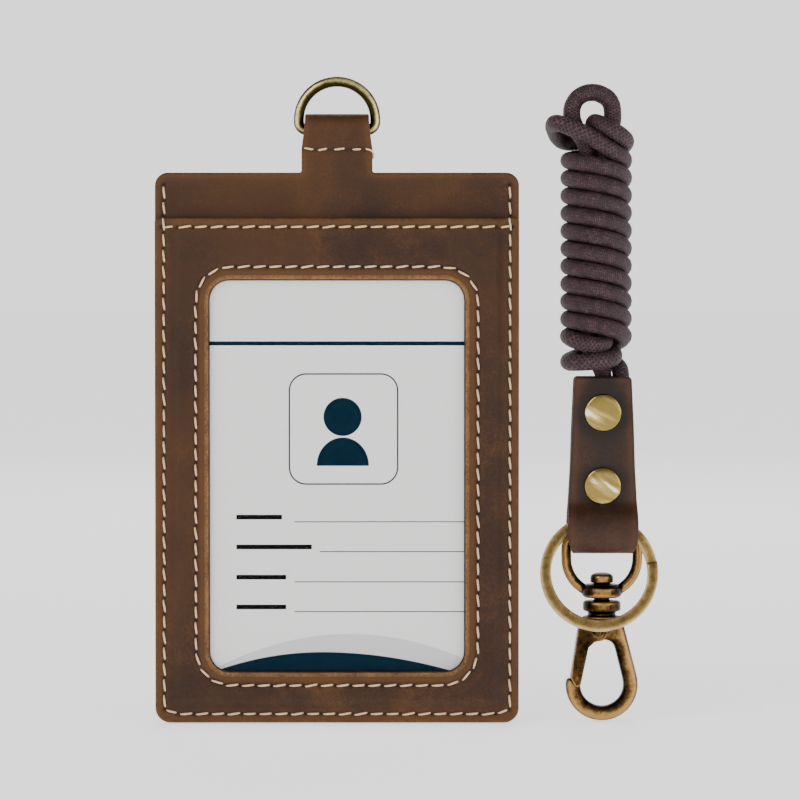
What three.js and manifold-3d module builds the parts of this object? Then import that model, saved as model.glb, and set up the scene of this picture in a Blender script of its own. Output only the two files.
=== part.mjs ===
// Upright leather card holder with a strap, ring and press stud, and its cord lanyard with a swivel trigger hook.
// Millimetres, +Z up, window side facing -Y. The origin is the top of the ring's inner bow.
import * as THREE from 'three';
import { mergeVertices } from 'three/addons/utils/BufferGeometryUtils.js';
import Module from 'manifold-3d';

const wasm = await Module();
wasm.setup();

// Holder leather, cards and film
const HOLDER_W = 78;
const HOLDER_H = 118;
const PANEL_TOP = -18.4;
const PANEL_BOTTOM = PANEL_TOP - HOLDER_H;
const FOOT_R = 3.2;
const HEAD_R = 2;
const LEATHER = 1.4;
const RIM_W = 3.3;
const SLOPE_RUN = 2.1;
const FRONT_EDGE_DROP = 9.8;
const BACK_EDGE_DROP = 16.1;
const CARD_T = 0.8;
const CARD_GAP = 0.15;
const FILM_T = 0.3;
const CARD_SIDE_GAP = 0.6;
const ID_CARD_H = 98;
const ACCESS_CARD_W = 54;
const ACCESS_CARD_H = 85.6;
const CARD_R = 3.2;
const WINDOW_BORDER = 11.5;
const WINDOW_TOP_DROP = 22.8;
const WINDOW_FOOT = 10.9;
const WINDOW_R = 4.5;
const FILM_LAP = 3.4;
const SLOT_W = 21.8;
const SLOT_H = 34.3;
const SLOT_TOP_DROP = 50;

// Ring at the head of the holder, and the leather round its bar
const RING_WIRE_R = 1.1;
const BOW_R = 8.2;
const RING_SIDE = 0.4;
const RING_CORNER_R = 1.8;
const BUTT_ANGLE = 97;
const BUTT_GAP = 2.6;
const FOLD_IN_R = RING_WIRE_R + 0.15;
const STRAP_W = 15.2;
const FOLD_SLACK = 0.85;
const RING_SIDE_GAP = 0.35;

// Closing strap and press stud
const SEAM_DROP = 4.1;
const HINGE_Y = -0.25;
const STRAP_STAND = 2.4;
const STRAP_LENGTH = 44.4;
const SNAP_DROP = 29.3;
const CAP_R = 5.6;
const CAP_H = 1.9;
const STUD_R = 2.2;
const TURNED_GAP = 0.3;

// Heights of the leaves, front to back
const MIDDLE_Y1 = -FOLD_IN_R;
const MIDDLE_Y0 = MIDDLE_Y1 - LEATHER;
const ID_Y1 = MIDDLE_Y0 - CARD_GAP;
const ID_Y0 = ID_Y1 - CARD_T;
const FILM_Y1 = ID_Y0 - CARD_GAP;
const FILM_Y0 = FILM_Y1 - FILM_T;
const FRONT_Y = FILM_Y0 - LEATHER;
const ACCESS_Y0 = MIDDLE_Y1 + CARD_GAP;
const ACCESS_Y1 = ACCESS_Y0 + CARD_T;
const BACK_IN_Y = ACCESS_Y1 + CARD_GAP;
const BACK_Y = BACK_IN_Y + LEATHER;
const CARD_BOTTOM = PANEL_BOTTOM + RIM_W + SLOPE_RUN;
const BOW_Z = RING_WIRE_R - BOW_R;
const BAR_Z = BOW_Z - RING_SIDE - RING_CORNER_R;
const FOLD_Z = BAR_Z + FOLD_SLACK;
const SEAM_Z = BAR_Z - SEAM_DROP;
const HINGE_Z = SEAM_Z - 2.2;
const STRAP_IN_Y = BACK_Y + STRAP_STAND;
const SNAP_Z = HINGE_Z - SNAP_DROP;

// Lanyard: where it stands, and its tab
const LANYARD_X = 57;
const LANYARD_Z = -62.1;
const TAB_LEATHER = 1.8;
const TAB_GAP = 1.8;
const TAB_CLOSED = 0.6;
const TAB_LOOP_FRONT = 4.3;
const TAB_LOOP_BACK = 3.5;
const TAB_H = 38;
const UPPER_RIVET_Z = -7.7;
const LOWER_RIVET_Z = -TAB_H + 14.5;
const RIVET_R = 4;
const RIVET_SHANK_R = 0.9;

// Split ring
const SPLIT_R = 11.5;
const SPLIT_W = 2.3;
const SPLIT_T = 0.95;
const SPLIT_GAP = 0.3;
const SPLIT_Y = -1.3;
const SPLIT_TOP_Z = -TAB_H + 7.1;
const SPLIT_X = -0.8;
const SPLIT_LEAN = 14;

// Swivel eye, hook and gate
const EYE_WIRE_R = 1.1;
const EYE_R = 7.65;
const EYE_BAR_Z = -TAB_H + TAB_LEATHER + 1.6;
const EYE_Y = 1.3;
const EYE_CORNER_R = 2.4;
const EYE_CENTRE_Z = EYE_BAR_Z - 4.7;
const COLLAR_R = 4.25;
const COLLAR_TOP = EYE_CENTRE_Z - EYE_R + 2.15;
const COLLAR_H = 2.9;
const SHANK_R = 1.7;
const BLOCK_TOP = COLLAR_TOP - COLLAR_H - 0.7;
const BLOCK_R = 4.1;
const PIN_Z = BLOCK_TOP - 6.6;
const BOW_CENTRE_Z = PIN_Z - 11.5;
const BOW_OUT_R = 7.55;
const BOW_IN_R = 4.9;
const CORE_HALF = 1.5;
const GATE_SHEET = 0.7;
const PIN_X = -0.9;
const PIN_R = 0.8;
const LOBE_R = 2.15;
const NOSE_R = 11.7;

// Wound cord
const CORD_R = 1.45;
const CORD_X = -1.4;
const COIL_R = 5.9;
const COIL_LEAD = 7.55;
const CORE_OFF = 1.75;
const COIL_STEPS = 24;

// General building steps

function solid(geometry) {
  const bare = geometry.index ? geometry.toNonIndexed() : geometry.clone();
  bare.deleteAttribute('normal');
  bare.deleteAttribute('uv');
  const merged = mergeVertices(bare, 1e-4);
  const index = merged.index.array;
  const position = merged.attributes.position;
  const kept = [];
  let volume = 0;
  const a = new THREE.Vector3();
  const b = new THREE.Vector3();
  const c = new THREE.Vector3();
  for (let i = 0; i < index.length; i += 3) {
    const [p, q, r] = [index[i], index[i + 1], index[i + 2]];
    if (p === q || q === r || r === p) continue;
    kept.push(p, q, r);
    a.fromBufferAttribute(position, p);
    b.fromBufferAttribute(position, q);
    c.fromBufferAttribute(position, r);
    volume += a.dot(b.cross(c));
  }
  if (volume < 0) {
    for (let i = 0; i < kept.length; i += 3) {
      [kept[i + 1], kept[i + 2]] = [kept[i + 2], kept[i + 1]];
    }
  }
  return new wasm.Manifold(new wasm.Mesh({
    numProp: 3,
    vertProperties: new Float32Array(position.array),
    triVerts: new Uint32Array(kept),
  }));
}

function geometryOf(body) {
  const out = body.getMesh();
  const geometry = new THREE.BufferGeometry();
  geometry.setAttribute('position', new THREE.BufferAttribute(new Float32Array(out.vertProperties), 3));
  geometry.setIndex(new THREE.BufferAttribute(new Uint32Array(out.triVerts), 1));
  return geometry;
}

function shapeOf(points) {
  return new THREE.Shape(points.map(([u, v]) => new THREE.Vector2(u, v)));
}

function arc(cx, cy, r, from, to, steps) {
  const points = [];
  for (let i = 0; i <= steps; i++) {
    const angle = THREE.MathUtils.degToRad(from + (to - from) * i / steps);
    points.push([cx + r * Math.cos(angle), cy + r * Math.sin(angle)]);
  }
  return points;
}

function roundedBox(x0, z0, x1, z1, footR, headR = footR, steps = 5) {
  return [
    ...arc(x0 + footR, z0 + footR, footR, 180, 270, steps),
    ...arc(x1 - footR, z0 + footR, footR, 270, 360, steps),
    ...arc(x1 - headR, z1 - headR, headR, 0, 90, steps),
    ...arc(x0 + headR, z1 - headR, headR, 90, 180, steps),
  ];
}

// A plate drawn in x and z, standing between two values of y
function plate(points, y0, y1) {
  const low = Math.min(y0, y1);
  const high = Math.max(y0, y1);
  const geometry = new THREE.ExtrudeGeometry(shapeOf(points), { depth: high - low, bevelEnabled: false });
  geometry.rotateX(Math.PI / 2);
  geometry.translate(0, high, 0);
  return solid(geometry);
}

// A bar drawn in y and z, running between two values of x
function bar(points, x0, x1, holes = []) {
  const shape = shapeOf(points);
  shape.holes = holes.map((hole) => new THREE.Path(hole.map(([u, v]) => new THREE.Vector2(u, v))));
  const geometry = new THREE.ExtrudeGeometry(shape, { depth: x1 - x0, bevelEnabled: false });
  geometry.applyMatrix4(new THREE.Matrix4().makeBasis(
    new THREE.Vector3(0, 1, 0), new THREE.Vector3(0, 0, 1), new THREE.Vector3(1, 0, 0)));
  geometry.translate(x0, 0, 0);
  return solid(geometry);
}

// A column drawn in x and y, running between two values of z
function column(points, z0, z1) {
  const geometry = new THREE.ExtrudeGeometry(shapeOf(points), { depth: z1 - z0, bevelEnabled: false });
  geometry.translate(0, 0, z0);
  return solid(geometry);
}

// A body turned about an axis along y, from radius and y pairs that start and end on the axis
function turnedY(points, x, z, segments = 32) {
  const geometry = new THREE.LatheGeometry(points.map(([r, y]) => new THREE.Vector2(r, y)), segments);
  geometry.translate(x, 0, z);
  return solid(geometry);
}

// A body turned about the z axis, from radius and z pairs
function turnedZ(points, x, segments = 32) {
  const geometry = new THREE.LatheGeometry(points.map(([r, z]) => new THREE.Vector2(r, z)), segments);
  geometry.rotateX(Math.PI / 2);
  geometry.translate(x, 0, 0);
  return solid(geometry);
}

// A bent rod of one section along a list of points
function rod(points, section, steps) {
  const path = new THREE.CatmullRomCurve3(points.map((p) => new THREE.Vector3(...p)), false, 'centripetal');
  path.arcLengthDivisions = points.length * 12;
  const geometry = new THREE.ExtrudeGeometry(shapeOf(section), { steps, extrudePath: path });
  return solid(geometry);
}

function roundSection(r, sides) {
  return arc(0, 0, r, 0, 360 - 360 / sides, sides - 1);
}

function flatSection(halfU, halfV, cut) {
  return [
    [-halfU + cut, -halfV], [halfU - cut, -halfV], [halfU, -halfV + cut], [halfU, halfV - cut],
    [halfU - cut, halfV], [-halfU + cut, halfV], [-halfU, halfV - cut], [-halfU, -halfV + cut],
  ];
}

function smooth(t) {
  const s = Math.min(1, Math.max(0, t));
  return s * s * (3 - 2 * s);
}

// Materials

const MATERIALS = {
  leather: { color: 0x5a3d2d, roughness: 0.62, metalness: 0 },
  clear_film: { color: 0xe9eef0, roughness: 0.12, metalness: 0 },
  card_print: { color: 0xf4f4f2, roughness: 0.35, metalness: 0 },
  card_white: { color: 0xf0f0ee, roughness: 0.4, metalness: 0 },
  antique_brass: { color: 0x86794a, roughness: 0.34, metalness: 1 },
  rivet_brass: { color: 0xb59a55, roughness: 0.3, metalness: 1 },
  ring_bronze: { color: 0x97793f, roughness: 0.38, metalness: 1 },
  hook_bronze: { color: 0x6b4a26, roughness: 0.4, metalness: 1 },
  spring_steel: { color: 0x8d8a84, roughness: 0.35, metalness: 1 },
  waxed_cord: { color: 0x4a3438, roughness: 0.7, metalness: 0 },
};

function named(name, body, look) {
  const mesh = new THREE.Mesh(geometryOf(body), new THREE.MeshStandardMaterial(MATERIALS[look]));
  mesh.name = name;
  return mesh;
}

// Pocket leaves

// One sewn leaf: a flat rim at the sides and foot, and a raised field inside it that is open at the head
function pocketLeaf(topZ, rimIn, side, rise) {
  const outline = roundedBox(-HOLDER_W / 2, PANEL_BOTTOM, HOLDER_W / 2, topZ, FOOT_R, 0.8);
  const rimOut = rimIn + side * LEATHER;
  const fieldIn = rimIn + side * rise;
  const fieldOut = rimOut + side * rise;
  const wide = HOLDER_W / 2 - RIM_W;
  const narrow = wide - SLOPE_RUN;
  const low = PANEL_BOTTOM + RIM_W;
  const high = low + SLOPE_RUN;
  const over = topZ + 5;
  const under = rimIn - side;
  const outerAcross = column([[-wide, rimIn], [wide, rimIn], [wide, rimOut], [narrow, fieldOut],
    [-narrow, fieldOut], [-wide, rimOut]], low, over);
  const outerDown = bar([[rimIn, low], [rimOut, low], [fieldOut, high], [fieldOut, over], [rimIn, over]],
    -HOLDER_W, HOLDER_W);
  const innerAcross = column([[-wide, under], [wide, under], [wide, rimIn], [narrow, fieldIn],
    [-narrow, fieldIn], [-wide, rimIn]], low, over);
  const innerDown = bar([[under, low], [rimIn, low], [fieldIn, high], [fieldIn, over], [under, over]],
    -HOLDER_W, HOLDER_W);
  const field = outerAcross.intersect(outerDown).intersect(plate(outline, rimIn, fieldOut));
  return plate(outline, rimIn, rimOut).add(field).subtract(innerAcross.intersect(innerDown));
}

function windowOutline(grow, r) {
  return roundedBox(-HOLDER_W / 2 + WINDOW_BORDER - grow, PANEL_BOTTOM + WINDOW_FOOT - grow,
    HOLDER_W / 2 - WINDOW_BORDER + grow, PANEL_TOP - WINDOW_TOP_DROP + grow, r);
}

function frontPanel() {
  const leaf = pocketLeaf(PANEL_TOP - FRONT_EDGE_DROP, MIDDLE_Y0, -1, MIDDLE_Y0 - FILM_Y0);
  return leaf.subtract(plate(windowOutline(0, WINDOW_R), FRONT_Y - 1, MIDDLE_Y0));
}

function windowFilm() {
  return plate(windowOutline(FILM_LAP, 3), FILM_Y0, FILM_Y1);
}

function backPanel() {
  const slotTop = PANEL_TOP - SLOT_TOP_DROP;
  const r = SLOT_W / 2;
  const slot = [
    ...arc(0, slotTop - r, r, 0, 180, 16),
    ...arc(0, slotTop - SLOT_H + r, r, 180, 360, 16),
  ];
  const recess = turnedY([[0, BACK_IN_Y - 1], [3.2 + TURNED_GAP, BACK_IN_Y - 1],
    [3.2 + TURNED_GAP, BACK_IN_Y + 0.45], [0, BACK_IN_Y + 0.45]], 0, SNAP_Z, 24);
  const hole = turnedY([[0, BACK_IN_Y], [1 + TURNED_GAP, BACK_IN_Y], [1 + TURNED_GAP, BACK_Y + 1],
    [0, BACK_Y + 1]], 0, SNAP_Z, 20);
  return pocketLeaf(PANEL_TOP - BACK_EDGE_DROP, MIDDLE_Y1, 1, BACK_IN_Y - MIDDLE_Y1)
    .subtract(plate(slot, MIDDLE_Y1, BACK_Y + 1)).subtract(recess).subtract(hole);
}

// Middle leaf, its tongue and the sewn fold

function middlePanel() {
  const leaf = plate(roundedBox(-HOLDER_W / 2, PANEL_BOTTOM, HOLDER_W / 2, PANEL_TOP, FOOT_R, HEAD_R),
    MIDDLE_Y0, MIDDLE_Y1);
  const r = FOLD_IN_R;
  const outer = [
    [-r, PANEL_TOP - 3], [-r, SEAM_Z - 1.2], [-r + LEATHER - 0.1, SEAM_Z - 1.2], [-r + LEATHER, SEAM_Z],
    [1.1, SEAM_Z + 1.2], [r + LEATHER, BAR_Z - RING_WIRE_R - 0.3],
    ...arc(0, FOLD_Z, r + LEATHER, 0, 180, 14),
    [-r - LEATHER, PANEL_TOP - 3],
  ];
  const eye = [
    ...arc(0, FOLD_Z, r, 0, 180, 12),
    [-r, SEAM_Z + 0.75], [-r + 0.25, SEAM_Z + 0.7], [r, BAR_Z - RING_WIRE_R - 0.35],
  ];
  const fold = bar(outer, -STRAP_W / 2, STRAP_W / 2, [eye]);
  const cheek = BOW_R - RING_WIRE_R - RING_SIDE_GAP;
  const cheekBox = [[MIDDLE_Y1, SEAM_Z + 0.6], [r + LEATHER + 1, SEAM_Z + 0.6], [r + LEATHER + 1, 0],
    [MIDDLE_Y1, 0]];
  return leaf.add(fold)
    .subtract(bar(cheekBox, cheek, STRAP_W))
    .subtract(bar(cheekBox, -STRAP_W, -cheek));
}

// Cards

function idCard() {
  const half = HOLDER_W / 2 - RIM_W - SLOPE_RUN - CARD_SIDE_GAP;
  return plate(roundedBox(-half, CARD_BOTTOM, half, CARD_BOTTOM + ID_CARD_H, CARD_R), ID_Y0, ID_Y1);
}

function accessCard() {
  const half = ACCESS_CARD_W / 2;
  return plate(roundedBox(-half, CARD_BOTTOM, half, CARD_BOTTOM + ACCESS_CARD_H, CARD_R), ACCESS_Y0, ACCESS_Y1);
}

// Wire ring

function dRing() {
  const half = BUTT_GAP / 2;
  const corner = BOW_Z - RING_SIDE;
  const inner = BOW_R - RING_CORNER_R;
  const points = [
    ...arc(0, BOW_Z, BOW_R, BUTT_ANGLE + half, 180, 10),
    ...arc(-inner, corner, RING_CORNER_R, 180, 270, 6),
    ...arc(inner, corner, RING_CORNER_R, 270, 360, 6),
    ...arc(0, BOW_Z, BOW_R, 0, BUTT_ANGLE - half, 12),
  ].map(([x, z]) => [x, 0, z]);
  return rod(points, roundSection(RING_WIRE_R, 10), 52);
}

// Closing strap

function strapMiddle(z) {
  const inner = HINGE_Y;
  const outer = STRAP_IN_Y + LEATHER / 2;
  const flatTop = SNAP_Z + CAP_R + 0.5;
  const flatFoot = SNAP_Z - CAP_R - 0.5;
  const tip = HINGE_Z - STRAP_LENGTH;
  if (z > flatTop) return inner + (outer - inner) * smooth((HINGE_Z - z) / (HINGE_Z - flatTop));
  return outer - 1.4 * smooth((flatFoot - z) / (flatFoot - tip + 3));
}

function strapTail() {
  const tip = HINGE_Z - STRAP_LENGTH;
  const half = STRAP_W / 2;
  const levels = [];
  for (let i = 1; i <= 24; i++) levels.push(HINGE_Z - STRAP_LENGTH * i / 24);
  const flats = [SNAP_Z + CAP_R + 0.5, SNAP_Z - CAP_R - 0.5];
  const all = [...levels, ...flats].sort((p, q) => q - p);
  const side = [
    ...arc(HINGE_Y, HINGE_Z, LEATHER / 2, 0, 180, 8),
    ...all.map((z) => [strapMiddle(z) - LEATHER / 2, z]),
    ...[...all].reverse().map((z) => [strapMiddle(z) + LEATHER / 2, z]),
  ];
  const outline = [
    [half, HINGE_Z + 2], [-half, HINGE_Z + 2],
    ...arc(0, tip + half, half, 180, 360, 20),
  ];
  const hole = turnedY([[0, STRAP_IN_Y - 1], [1.2 + TURNED_GAP, STRAP_IN_Y - 1],
    [1.2 + TURNED_GAP, STRAP_IN_Y + LEATHER + 1], [0, STRAP_IN_Y + LEATHER + 1]], 0, SNAP_Z, 20);
  return bar(side, -half, half).intersect(plate(outline, -5, 12)).subtract(hole);
}

// Press stud

function snapCap() {
  const y = STRAP_IN_Y + LEATHER;
  return turnedY([
    [0, STRAP_IN_Y - 0.3], [1.2, STRAP_IN_Y - 0.3], [1.2, y], [CAP_R - 0.35, y], [CAP_R, y + 0.3],
    [CAP_R - 0.05, y + 0.65], [CAP_R * 0.9, y + 1.0], [CAP_R * 0.75, y + CAP_H * 0.73],
    [CAP_R * 0.5, y + CAP_H * 0.9], [CAP_R * 0.25, y + CAP_H * 0.98], [0, y + CAP_H],
  ], 0, SNAP_Z, 40);
}

function snapSocket() {
  const y = STRAP_IN_Y;
  const bore = STUD_R + TURNED_GAP;
  const low = y - 1.6;
  return turnedY([
    [1.2 + TURNED_GAP, y], [4.6, y], [4.6, low + 0.3], [4.2, low], [bore + 0.3, low], [bore, low + 0.3],
    [bore, y - 0.4], [1.2 + TURNED_GAP, y - 0.4], [1.2 + TURNED_GAP, y],
  ], 0, SNAP_Z, 32);
}

function snapStud() {
  const top = STRAP_IN_Y - 0.6;
  const bore = 1 + TURNED_GAP;
  return turnedY([
    [0, top - 0.4], [bore, top - 0.4], [bore, BACK_Y], [4.5, BACK_Y], [4.5, BACK_Y + 0.3],
    [4.3, BACK_Y + 0.5], [STUD_R - 0.3, BACK_Y + 0.55], [STUD_R - 0.3, top - 0.85], [STUD_R, top - 0.55],
    [STUD_R, top - 0.3], [STUD_R - 0.35, top], [0, top],
  ], 0, SNAP_Z, 32);
}

function snapStudPost() {
  return turnedY([
    [0, BACK_IN_Y], [3.2, BACK_IN_Y], [3.2, BACK_IN_Y + 0.45], [1, BACK_IN_Y + 0.45],
    [1, STRAP_IN_Y - 1.3], [0, STRAP_IN_Y - 1.3],
  ], 0, SNAP_Z, 24);
}

// Lanyard tab

function tabSide() {
  const t = TAB_LEATHER;
  const loop = -TAB_H + 5;
  const open = UPPER_RIVET_Z - RIVET_R - 0.3;
  const closed = LOWER_RIVET_Z + RIVET_R + 0.6;
  const closedFoot = LOWER_RIVET_Z - RIVET_R - 0.6;
  const inner = [
    [-TAB_GAP, 0], [-TAB_GAP, open], [-TAB_CLOSED, closed], [-TAB_CLOSED, closedFoot],
    [-2.2, loop + 3.6], [-TAB_LOOP_FRONT + 0.5, loop + 2], [-TAB_LOOP_FRONT, loop],
    ...arc(-TAB_LOOP_FRONT + 2.2, -TAB_H + t + 2.2, 2.2, 180, 270, 5),
    ...arc(TAB_LOOP_BACK - 2.2, -TAB_H + t + 2.2, 2.2, 270, 360, 5),
    [TAB_LOOP_BACK, loop], [TAB_LOOP_BACK - 0.4, loop + 2], [2, loop + 3.6],
    [TAB_CLOSED, closedFoot], [TAB_CLOSED, closed], [TAB_GAP, open], [TAB_GAP, 0],
  ];
  const outer = [
    [TAB_GAP + t, 0], [TAB_GAP + t, open - 0.4], [TAB_CLOSED + t, closed - 0.3],
    [TAB_CLOSED + t, closedFoot + 0.3], [3.2, loop + 4.4], [TAB_LOOP_BACK + t - 0.4, loop + 3],
    [TAB_LOOP_BACK + t, loop],
    ...arc(TAB_LOOP_BACK - 2.2, -TAB_H + t + 2.2, 2.2 + t, 0, -90, 8),
    ...arc(-TAB_LOOP_FRONT + 2.2, -TAB_H + t + 2.2, 2.2 + t, 270, 180, 8),
    [-TAB_LOOP_FRONT - t, loop], [-TAB_LOOP_FRONT - t + 0.5, loop + 3], [-3.4, loop + 4.4],
    [-TAB_CLOSED - t, closedFoot + 0.3], [-TAB_CLOSED - t, closed - 0.3],
    [-TAB_GAP - t, open - 0.4], [-TAB_GAP - t, 0],
  ];
  return [...inner, ...outer];
}

function tabFront() {
  const right = [[6.2, -1], [6.6, -10], [7, -TAB_H + 18], [7.5, -TAB_H + 9], [7.6, -TAB_H + 5],
    [7.4, -TAB_H + 3], [6.9, -TAB_H + 1.4], [6.4, -TAB_H + 0.6], [5.8, -TAB_H - 0.1]];
  const left = [...right].reverse().map(([x, z]) => [-x, z]);
  return [...right, ...left, ...arc(-5.2, -1, 1, 180, 90, 4), ...arc(5.2, -1, 1, 90, 0, 4)];
}

function atLanyard(body) {
  return body.translate(LANYARD_X, 0, LANYARD_Z);
}

function rivetHole(z) {
  const r = RIVET_SHANK_R + 2 * TURNED_GAP + 0.4;
  return turnedY([[0, -8], [r + TURNED_GAP, -8], [r + TURNED_GAP, 8], [0, 8]], 0, z, 20);
}

function lanyardTab() {
  const strip = bar(tabSide(), -9, 9).intersect(plate(tabFront(), -9, 9));
  const wireIn = EYE_R - EYE_WIRE_R - EYE_CORNER_R + 1.3;
  const passage = [[EYE_Y - EYE_WIRE_R - 0.4, -TAB_H - 1], [TAB_LOOP_BACK, -TAB_H - 1],
    [TAB_LOOP_BACK, -TAB_H + TAB_LEATHER + 0.6], [EYE_Y - EYE_WIRE_R - 0.4, -TAB_H + TAB_LEATHER + 0.6]];
  return atLanyard(strip
    .subtract(bar(passage, wireIn, 12))
    .subtract(bar(passage, -12, -wireIn))
    .subtract(rivetHole(UPPER_RIVET_Z))
    .subtract(rivetHole(LOWER_RIVET_Z)));
}

// Rivets through the tab

function rivetCap(z, face) {
  const stem = RIVET_SHANK_R + 2 * TURNED_GAP + 0.4;
  const bore = RIVET_SHANK_R + TURNED_GAP;
  return atLanyard(turnedY([
    [0, -face - 1], [RIVET_R * 0.45, -face - 0.98], [RIVET_R * 0.75, -face - 0.85], [RIVET_R * 0.93, -face - 0.6],
    [RIVET_R, -face - 0.3], [RIVET_R - 0.15, -face], [stem, -face], [stem, 0], [bore, 0], [bore, -face],
    [0, -face],
  ], 0, z, 36));
}

function rivetPost(z, face) {
  return atLanyard(turnedY([
    [0, -face + TURNED_GAP], [RIVET_SHANK_R, -face + TURNED_GAP], [RIVET_SHANK_R, face],
    [RIVET_R - 0.4, face], [RIVET_R - 0.2, face + 0.25], [RIVET_R - 0.6, face + 0.6],
    [RIVET_R * 0.4, face + 0.75], [0, face + 0.78],
  ], 0, z, 36));
}

// Flat ring of two turns

function splitRing() {
  const points = [];
  const stand = (SPLIT_T + SPLIT_GAP) / 2;
  const sweep = 686;
  const cross = 329;
  for (let t = 0; t <= sweep; t += 7) {
    const angle = THREE.MathUtils.degToRad(11 - t);
    const y = -stand + 2 * stand * smooth((t - cross) / 29);
    points.push([SPLIT_R * Math.cos(angle), y, SPLIT_R * Math.sin(angle)]);
  }
  const ring = rod(points, flatSection(SPLIT_T / 2, SPLIT_W / 2, 0.22), 104);
  return atLanyard(ring.translate(0, 0, -SPLIT_R).rotate(-SPLIT_LEAN, 0, 0)
    .translate(SPLIT_X, SPLIT_Y, SPLIT_TOP_Z));
}

// Wire eye with its collar

function swivelEye() {
  const inner = EYE_R - EYE_CORNER_R;
  const corner = EYE_BAR_Z - EYE_CORNER_R;
  const points = [
    ...arc(0, EYE_CENTRE_Z, EYE_R, -84, 0, 12),
    ...arc(inner, corner, EYE_CORNER_R, 0, 90, 6),
    ...arc(-inner, corner, EYE_CORNER_R, 90, 180, 6),
    ...arc(0, EYE_CENTRE_Z, EYE_R, 180, 264, 12),
  ].map(([x, z]) => [x, EYE_Y, z]);
  const wire = rod(points, roundSection(EYE_WIRE_R, 10), 58);
  const low = COLLAR_TOP - COLLAR_H;
  const collar = turnedZ([
    [0, low], [COLLAR_R - 0.5, low], [COLLAR_R, low + 0.5], [COLLAR_R, COLLAR_TOP - 0.8],
    [COLLAR_R - 0.3, COLLAR_TOP - 0.2], [COLLAR_R - 0.9, COLLAR_TOP], [0, COLLAR_TOP],
  ], 0).translate(0, EYE_Y, 0);
  const bore = turnedZ([
    [0, low - 2], [SHANK_R + TURNED_GAP, low - 2], [SHANK_R + TURNED_GAP, COLLAR_TOP + 3], [0, COLLAR_TOP + 3],
  ], 0).translate(0, EYE_Y, 0);
  return atLanyard(wire.add(collar).subtract(bore));
}

// Hook body: turned post and block, flat core, open bow

function hookOutline() {
  const top = BLOCK_TOP - 3.6;
  const tangent = 11;
  return [
    [-3.2, top], [BLOCK_R, top], [4.45, top - 1.6],
    ...arc(0, BOW_CENTRE_Z, BOW_OUT_R, tangent, -190, 34),
    ...arc(0, BOW_CENTRE_Z, BOW_IN_R, -190, tangent, 26),
    [2.9, PIN_Z - 2.9], [2.3, PIN_Z - 2.1], [1.4, PIN_Z - 1.8], [-2.4, PIN_Z - 1.8], [-3.2, PIN_Z - 1.1],
  ];
}

function hookBody() {
  const edge = 0.55;
  const geometry = new THREE.ExtrudeGeometry(shapeOf(hookOutline()), {
    depth: 2 * (CORE_HALF - edge), bevelEnabled: true, bevelThickness: edge, bevelSize: edge,
    bevelOffset: -edge, bevelSegments: 2,
  });
  geometry.rotateX(Math.PI / 2);
  geometry.translate(0, CORE_HALF - edge, 0);
  const core = solid(geometry);
  const seat = COLLAR_TOP + TURNED_GAP;
  const block = BLOCK_TOP;
  const turned = turnedZ([
    [0, block - 5.2], [2.2, block - 5.2], [BLOCK_R - 0.3, block - 4.1], [BLOCK_R + 0.1, block - 3.6],
    [BLOCK_R, block - 3.35], [3, block - 3.2], [3, block - 2.3], [BLOCK_R - 0.2, block - 2.2],
    [BLOCK_R, block - 1.9], [BLOCK_R, block - 0.4], [BLOCK_R - 0.4, block], [SHANK_R, block],
    [SHANK_R, seat], [2.5, seat], [2.5, seat + 1.3], [2.1, seat + 1.8], [1.3, seat + 2.1], [0, seat + 2.2],
  ], 0);
  const nose = turnedY([[0, -4], [NOSE_R, -4], [NOSE_R, 4], [0, 4]], PIN_X, PIN_Z, 96)
    .intersect(plate([[-9, BOW_CENTRE_Z + 4.5], [-3.9, BOW_CENTRE_Z + 4.5], [-3.9, BOW_CENTRE_Z - 2.5],
      [-9, BOW_CENTRE_Z - 2.5]], -4, 4));
  const cheek = [[-9, block - 4.1], [2.4, block - 4.1], [2.4, PIN_Z - 5], [-9, PIN_Z - 5]];
  const cheeks = plate(cheek, CORE_HALF, 5).add(plate(cheek, -5, -CORE_HALF));
  const hole = turnedY([[0, -4], [PIN_R + 0.05, -4], [PIN_R + 0.05, 4], [0, 4]], PIN_X, PIN_Z, 24);
  const slot = plate([[-6, PIN_Z + 2.1], [PIN_X + 2.1, PIN_Z + 2.1], [PIN_X + 2.1, PIN_Z - 2.1],
    [-6, PIN_Z - 2.1]], -0.75, 0.75);
  return atLanyard(core.add(turned).subtract(nose).subtract(cheeks).subtract(hole).subtract(slot)
    .translate(0, EYE_Y, 0));
}

// Trigger gate, its pin and spring

function gateOutline() {
  return [
    [-5, PIN_Z + 1.8], [-3.2, PIN_Z + 2.05], ...arc(PIN_X, PIN_Z, LOBE_R, 80, -60, 8),
    [-1.6, PIN_Z - 2.2], [-2.9, PIN_Z - 3.4], [-4.6, BOW_CENTRE_Z + 0.1], [-5.2, BOW_CENTRE_Z - 0.5],
    [-5.9, BOW_CENTRE_Z - 0.1], [-6.75, BOW_CENTRE_Z + 1.5],
  ];
}

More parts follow.
